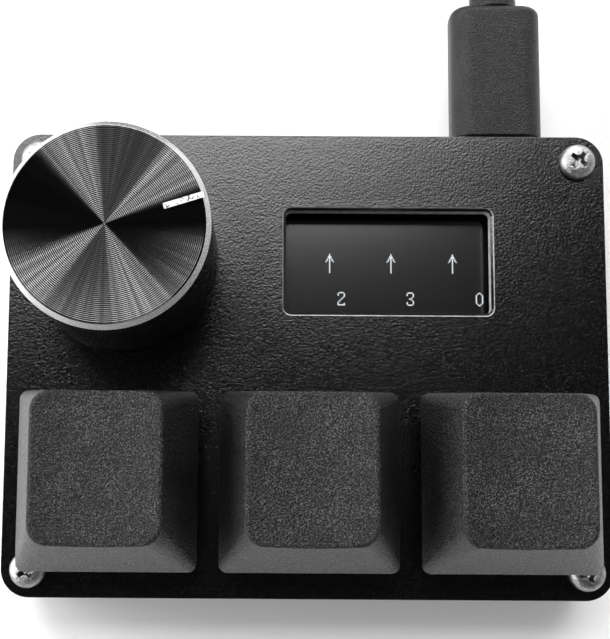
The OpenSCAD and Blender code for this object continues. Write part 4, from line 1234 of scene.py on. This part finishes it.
class KEYPAD_OT_display(bpy.types.Operator):
    """Makes the display's glass, film and lit marks, and finishes the board round it"""

    bl_idname = "keypad.display"
    bl_label = "Make the display"

    FILM = 0.1
    LIT = ((-2.0, 6.175), (19.7, 17.025))
    MARK_HEIGHT = 0.02
    LIT_PART = 0.96

    def marks(self, pitch):
        """The arrows and figures as raised bars of lit pixels."""
        bars = []
        for x, y in ARROW_TOPS:
            bars += lit_rows(ARROW, x - 3.5 * pitch, y, pitch)
        for figure, (x, y) in DIGIT_CORNERS:
            bars += lit_rows(DIGITS[figure], x - pitch, y, pitch)
        top = GLASS_TOP + self.MARK_HEIGHT
        made = [block("bar", (x, y - self.LIT_PART * pitch, GLASS_TOP), (x + width, y, top))
                for x, y, width in bars]
        return join(made, "display_marks")

    def execute(self, context):
        settings = context.scene.keypad_display
        low, high = extent("display_glass")
        glass = slab("display_glass_sheet", low, (high.x, high.y, GLASS_TOP - self.FILM), 0.2, 3)
        soften(glass, 0.06, 2)
        wear(glass, moulded("glass_border", (0.008, 0.008, 0.009), (0.06, 0.1), 0.6, 0.0005, 0.05,
                            Coat_Weight=0.5))
        belongs(glass, CASE, "display_glass", "display_glass")
        (x0, y0), (x1, y1) = self.LIT
        film = slab("display_film", (x0 - 0.8, y0 - 0.35, GLASS_TOP - self.FILM),
                    (x1 + 0.8, y1 + 0.8, GLASS_TOP), 0.3, 3)
        soften(film, 0.03, 2)
        wear(film, screen_film("screen_film"))
        belongs(film, CASE, "display_glass")
        marks = self.marks(settings.pitch / MM)
        wear(marks, lit_mark("lit_marks", tuple(settings.lit)))
        belongs(marks, CASE, "display_light")
        dress("display_backlight", moulded("backlight_frame", (0.75, 0.75, 0.73), (0.35, 0.5), 0.4, 0.003,
                                           0.04))
        foam = wear(softened_copy("display_tape", "foam_pad", 0.1),
                    moulded("foam_tape", (0.7, 0.7, 0.66), (0.8, 0.95), 0.2, 0.05, 0.06))
        belongs(foam, CASE, "tape_pale", "display_tape")
        flex = wear(softened_copy("display_flex", "display_ribbon", 0.02),
                    moulded("flex_film", (0.42, 0.2, 0.04), (0.15, 0.3), 0.6, 0.002, 0.15))
        belongs(flex, CASE, "flex_amber", "display_flex")
        dress("main_board", board_face("solder_mask"))
        dress("controller_chip", moulded("chip_package", (0.02, 0.02, 0.02), (0.55, 0.7), 0.12, 0.01))
        dress("board_parts", moulded("ceramic_parts", (0.38, 0.31, 0.22), (0.4, 0.6), 0.2, 0.006, 0.2))
        dress("port_shell", metal("port_plating", (0.62, 0.62, 0.64), (0.2, 0.3), 0.3, 0.002, 0.12,
                                  (1, 0.1, 1)))
        dress("port_tongue", moulded("port_plastic", (0.02, 0.02, 0.021), (0.35, 0.5)))
        return {"FINISHED"}


OPERATORS = (KEYPAD_OT_stage, KEYPAD_OT_cable, KEYPAD_OT_case, KEYPAD_OT_keys, KEYPAD_OT_dial,
             KEYPAD_OT_display)


class KEYPAD_PT_pieces(bpy.types.Panel):
    """Lists the keypad's settings and the steps that build it"""

    bl_idname = "KEYPAD_PT_pieces"
    bl_label = "Keypad"
    bl_space_type = "VIEW_3D"
    bl_region_type = "UI"
    bl_category = "Keypad"

    def draw(self, context):
        for name, group in SETTINGS.items():
            box = self.layout.box()
            settings = getattr(context.scene, name)
            for key in group.__annotations__:
                box.prop(settings, key)
        for operator in OPERATORS:
            self.layout.operator(operator.bl_idname)


SETTINGS = {
    "keypad_case": KeypadCaseSettings,
    "keypad_keycap": KeypadKeycapSettings,
    "keypad_dial": KeypadDialSettings,
    "keypad_display": KeypadDisplaySettings,
    "keypad_cable": KeypadCableSettings,
    "keypad_stage": KeypadStageSettings,
}


def register():
    for group in SETTINGS.values():
        bpy.utils.register_class(group)
    for name, group in SETTINGS.items():
        setattr(bpy.types.Scene, name, PointerProperty(type=group))
    for operator in OPERATORS:
        bpy.utils.register_class(operator)
    bpy.utils.register_class(KEYPAD_PT_pieces)


def unregister():
    bpy.utils.unregister_class(KEYPAD_PT_pieces)
    for operator in reversed(OPERATORS):
        bpy.utils.unregister_class(operator)
    for name in SETTINGS:
        delattr(bpy.types.Scene, name)
    for group in SETTINGS.values():
        bpy.utils.unregister_class(group)


def main():
    register()
    for operator in OPERATORS:
        group, action = operator.bl_idname.split(".")
        getattr(getattr(bpy.ops, group), action)()
    leave_all()


if __name__ == "__main__":
    main()
